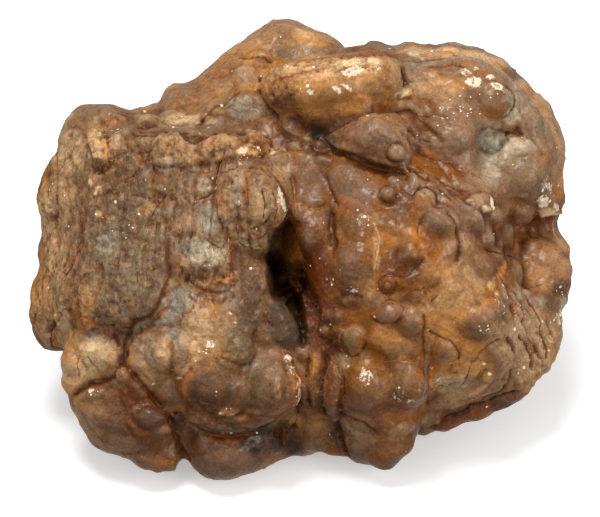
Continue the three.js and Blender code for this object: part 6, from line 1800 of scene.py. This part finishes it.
def grainShare():
    # pale grains, each a cell of its own size
    grains = given("grains")
    white = 0.0
    for size in finish["grainCells"]:
        grain = cells(size)
        chance = node("ShaderNodeSeparateColor")
        put(chance.inputs["Color"], grain["Color"])
        reach = maths("MULTIPLY", chance.outputs["Green"], 0.34)
        here = maths("LESS_THAN", grain["Distance"], reach)
        picked = maths("LESS_THAN", chance.outputs["Red"], maths("MULTIPLY", grains, 0.75))
        white = maths("MAXIMUM", white, maths("MULTIPLY", here, picked))
    return white


def mottledSkin():
    # the painted colours, lighter and darker in clouds of three sizes
    mottled = maths("MULTIPLY", ramp(fine, 0.3, 0.7, -0.24, 0.24), maths("MULTIPLY_ADD", clear, -0.55, 1.0))
    shade = maths("ADD", ramp(coarse, 0.25, 0.75, 0.8, 1.2), mottled)
    shade = maths("ADD", shade, ramp(dust, 0.3, 0.7, -0.16, 0.16))
    grey = node("ShaderNodeCombineColor")
    for slot in grey.inputs:
        put(slot, shade)
    return mix(1.0, given("stoneColour", "Color"), grey.outputs["Color"], "MULTIPLY")


def stained(colour):
    bloom = maths("MULTIPLY", ramp(grit, 0.52, 0.60), maths("MULTIPLY_ADD", clear, -0.3, 0.3))
    colour = mix(bloom, colour, veils["bloom"])
    stain = ramp(cloud(1.5, 8, 0.75), 0.545, 0.59)
    stain = maths("MULTIPLY", stain, maths("MULTIPLY_ADD", dull, 0.35, 0.2))
    colour = mix(stain, colour, veils["stain"])
    speck = maths("MULTIPLY", ramp(grit, 0.46, 0.39), maths("MULTIPLY_ADD", dull, 0.25, 0.28))
    speck = maths("MULTIPLY", speck, maths("MULTIPLY_ADD", clear, -0.4, 1.0))
    return mix(speck, colour, veils["speck"])


def threaded(colour):
    dark = maths("MULTIPLY", ramp(threads, 0.53, 0.62), maths("MULTIPLY", fibre, 0.55))
    colour = mix(dark, colour, veils["darkThread"])
    pale = maths("MULTIPLY", ramp(threads, 0.45, 0.37), maths("MULTIPLY", fibre, 0.4))
    return mix(pale, colour, veils["paleThread"])


crack = crackShare()
line = lineShare()
white = grainShare()


def setColour():
    colour = threaded(stained(mottledSkin()))
    colour = mix(crack, colour, veils["crack"])
    colour = mix(line, colour, given("lineColour", "Color"))
    colour = mix(frostShare(), colour, veils["frost"])
    colour = mix(maths("MULTIPLY", white, 0.85), colour, veils["grain"])
    put(shader.inputs["Base Color"], colour)


def setGloss():
    gloss = maths("MULTIPLY_ADD", dull, finish["dullGloss"] - finish["gloss"], finish["gloss"])
    gloss = maths("ADD", gloss, ramp(dust, 0.3, 0.7, -0.12, 0.14))
    put(shader.inputs["Roughness"], gloss)
    put(shader.inputs["IOR"], finish["ior"])
    put(shader.inputs["Specular IOR Level"], finish["shine"])
    put(shader.inputs["Coat Weight"], finish["coat"])
    put(shader.inputs["Coat Roughness"], finish["coatGloss"])


def setGlow():
    put(shader.inputs["Subsurface Weight"], finish["glow"])
    put(shader.inputs["Subsurface Scale"], finish["glowReach"])
    shader.inputs["Subsurface Radius"].default_value = finish["glowColour"]


def setRelief():
    # fine relief as bump, in millimetres
    waves = cloud(1.4, 2, 0.5)
    small = maths("MULTIPLY", cloud(0.5, 1.5, 0.5), finish["grit"])
    rough = maths("MULTIPLY_ADD", waves, finish["waves"], small)
    rough = maths("MULTIPLY", rough, maths("MULTIPLY_ADD", dull, 1.3, 1.0))
    rough = maths("MULTIPLY", rough, maths("MULTIPLY_ADD", fibre, -0.4, 1.0))
    rough = maths("MULTIPLY", rough, maths("MULTIPLY_ADD", clear, -0.45, 1.0))
    rough = maths("MULTIPLY_ADD", threads, maths("MULTIPLY", fibre, finish["threads"]), rough)
    rough = maths("MULTIPLY_ADD", crack, -finish["crackDepth"], rough)
    rough = maths("MULTIPLY_ADD", line, -finish["lineDepth"], rough)
    rough = maths("MULTIPLY_ADD", white, finish["grainRise"], rough)
    bump = node("ShaderNodeBump")
    put(bump.inputs["Strength"], 1.0)
    put(bump.inputs["Distance"], mm)
    put(bump.inputs["Height"], rough)
    put(shader.inputs["Normal"], bump.outputs["Normal"])


setColour()
setGloss()
setGlow()
setRelief()
stonePiece.data.materials.append(material)
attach(stonePiece, "root")
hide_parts(nodeName)
print("finish made")


# pale floor and soft light, in metres and watts
studio = {
    "floorShade": (0.74, 0.77, 0.81),
    "floorGlow": 0.36,  # a light table, so the shadow stays pale
    "skyLight": 0.46,
    "warmth": (1.0, 0.96, 0.9),
    "floorHalf": 3.0,
    "aimAt": (0, 0, 0.03),
}
lights = {
    "softTop": {"place": (-0.07, -0.05, 0.62), "size": 0.26, "power": 3.5},
    "softFront": {"place": (-0.4, -0.5, 0.4), "size": 0.5, "power": 1.5},
    "softSide": {"place": (0.55, -0.35, 0.28), "size": 0.4, "power": 2.8},
}


def addFloor():
    half = studio["floorHalf"]
    mesh = bpy.data.meshes.new("paleFloor")
    corners = [(-half, -half, 0), (half, -half, 0), (half, half, 0), (-half, half, 0)]
    mesh.from_pydata(corners, [], [(0, 1, 2, 3)])
    floor = bpy.data.objects.new("paleFloor", mesh)
    bpy.context.scene.collection.objects.link(floor)
    paper = bpy.data.materials.new("paleFloor")
    paper.use_nodes = True
    slots = paper.node_tree.nodes["Principled BSDF"].inputs
    slots["Base Color"].default_value = studio["floorShade"] + (1,)
    slots["Roughness"].default_value = 0.9
    slots["Emission Color"].default_value = (1, 1, 1, 1)
    slots["Emission Strength"].default_value = studio["floorGlow"]
    slots["Specular IOR Level"].default_value = 0.1
    mesh.materials.append(paper)
    floor.visible_diffuse = False  # keeps the light table's own light off the stone
    floor.visible_glossy = False


def addLight(name, place, size, power):
    data = bpy.data.lights.new(name, "AREA")
    data.shape = "DISK"
    data.size = size
    data.energy = power
    data.color = studio["warmth"]
    lamp = bpy.data.objects.new(name, data)
    bpy.context.scene.collection.objects.link(lamp)
    lamp.location = place
    lamp.rotation_mode = "QUATERNION"
    lamp.rotation_quaternion = (Vector(studio["aimAt"]) - Vector(place)).to_track_quat("-Z", "Y")


def addSky():
    world = bpy.data.worlds.new("studio")
    world.use_nodes = True
    sky = world.node_tree.nodes["Background"]
    sky.inputs["Color"].default_value = studio["warmth"] + (1,)
    sky.inputs["Strength"].default_value = studio["skyLight"]
    bpy.context.scene.world = world


addFloor()
addSky()
for name, light in lights.items():
    addLight(name, **light)
bpy.context.scene.view_settings.view_transform = "Standard"
print("floor and lights set")
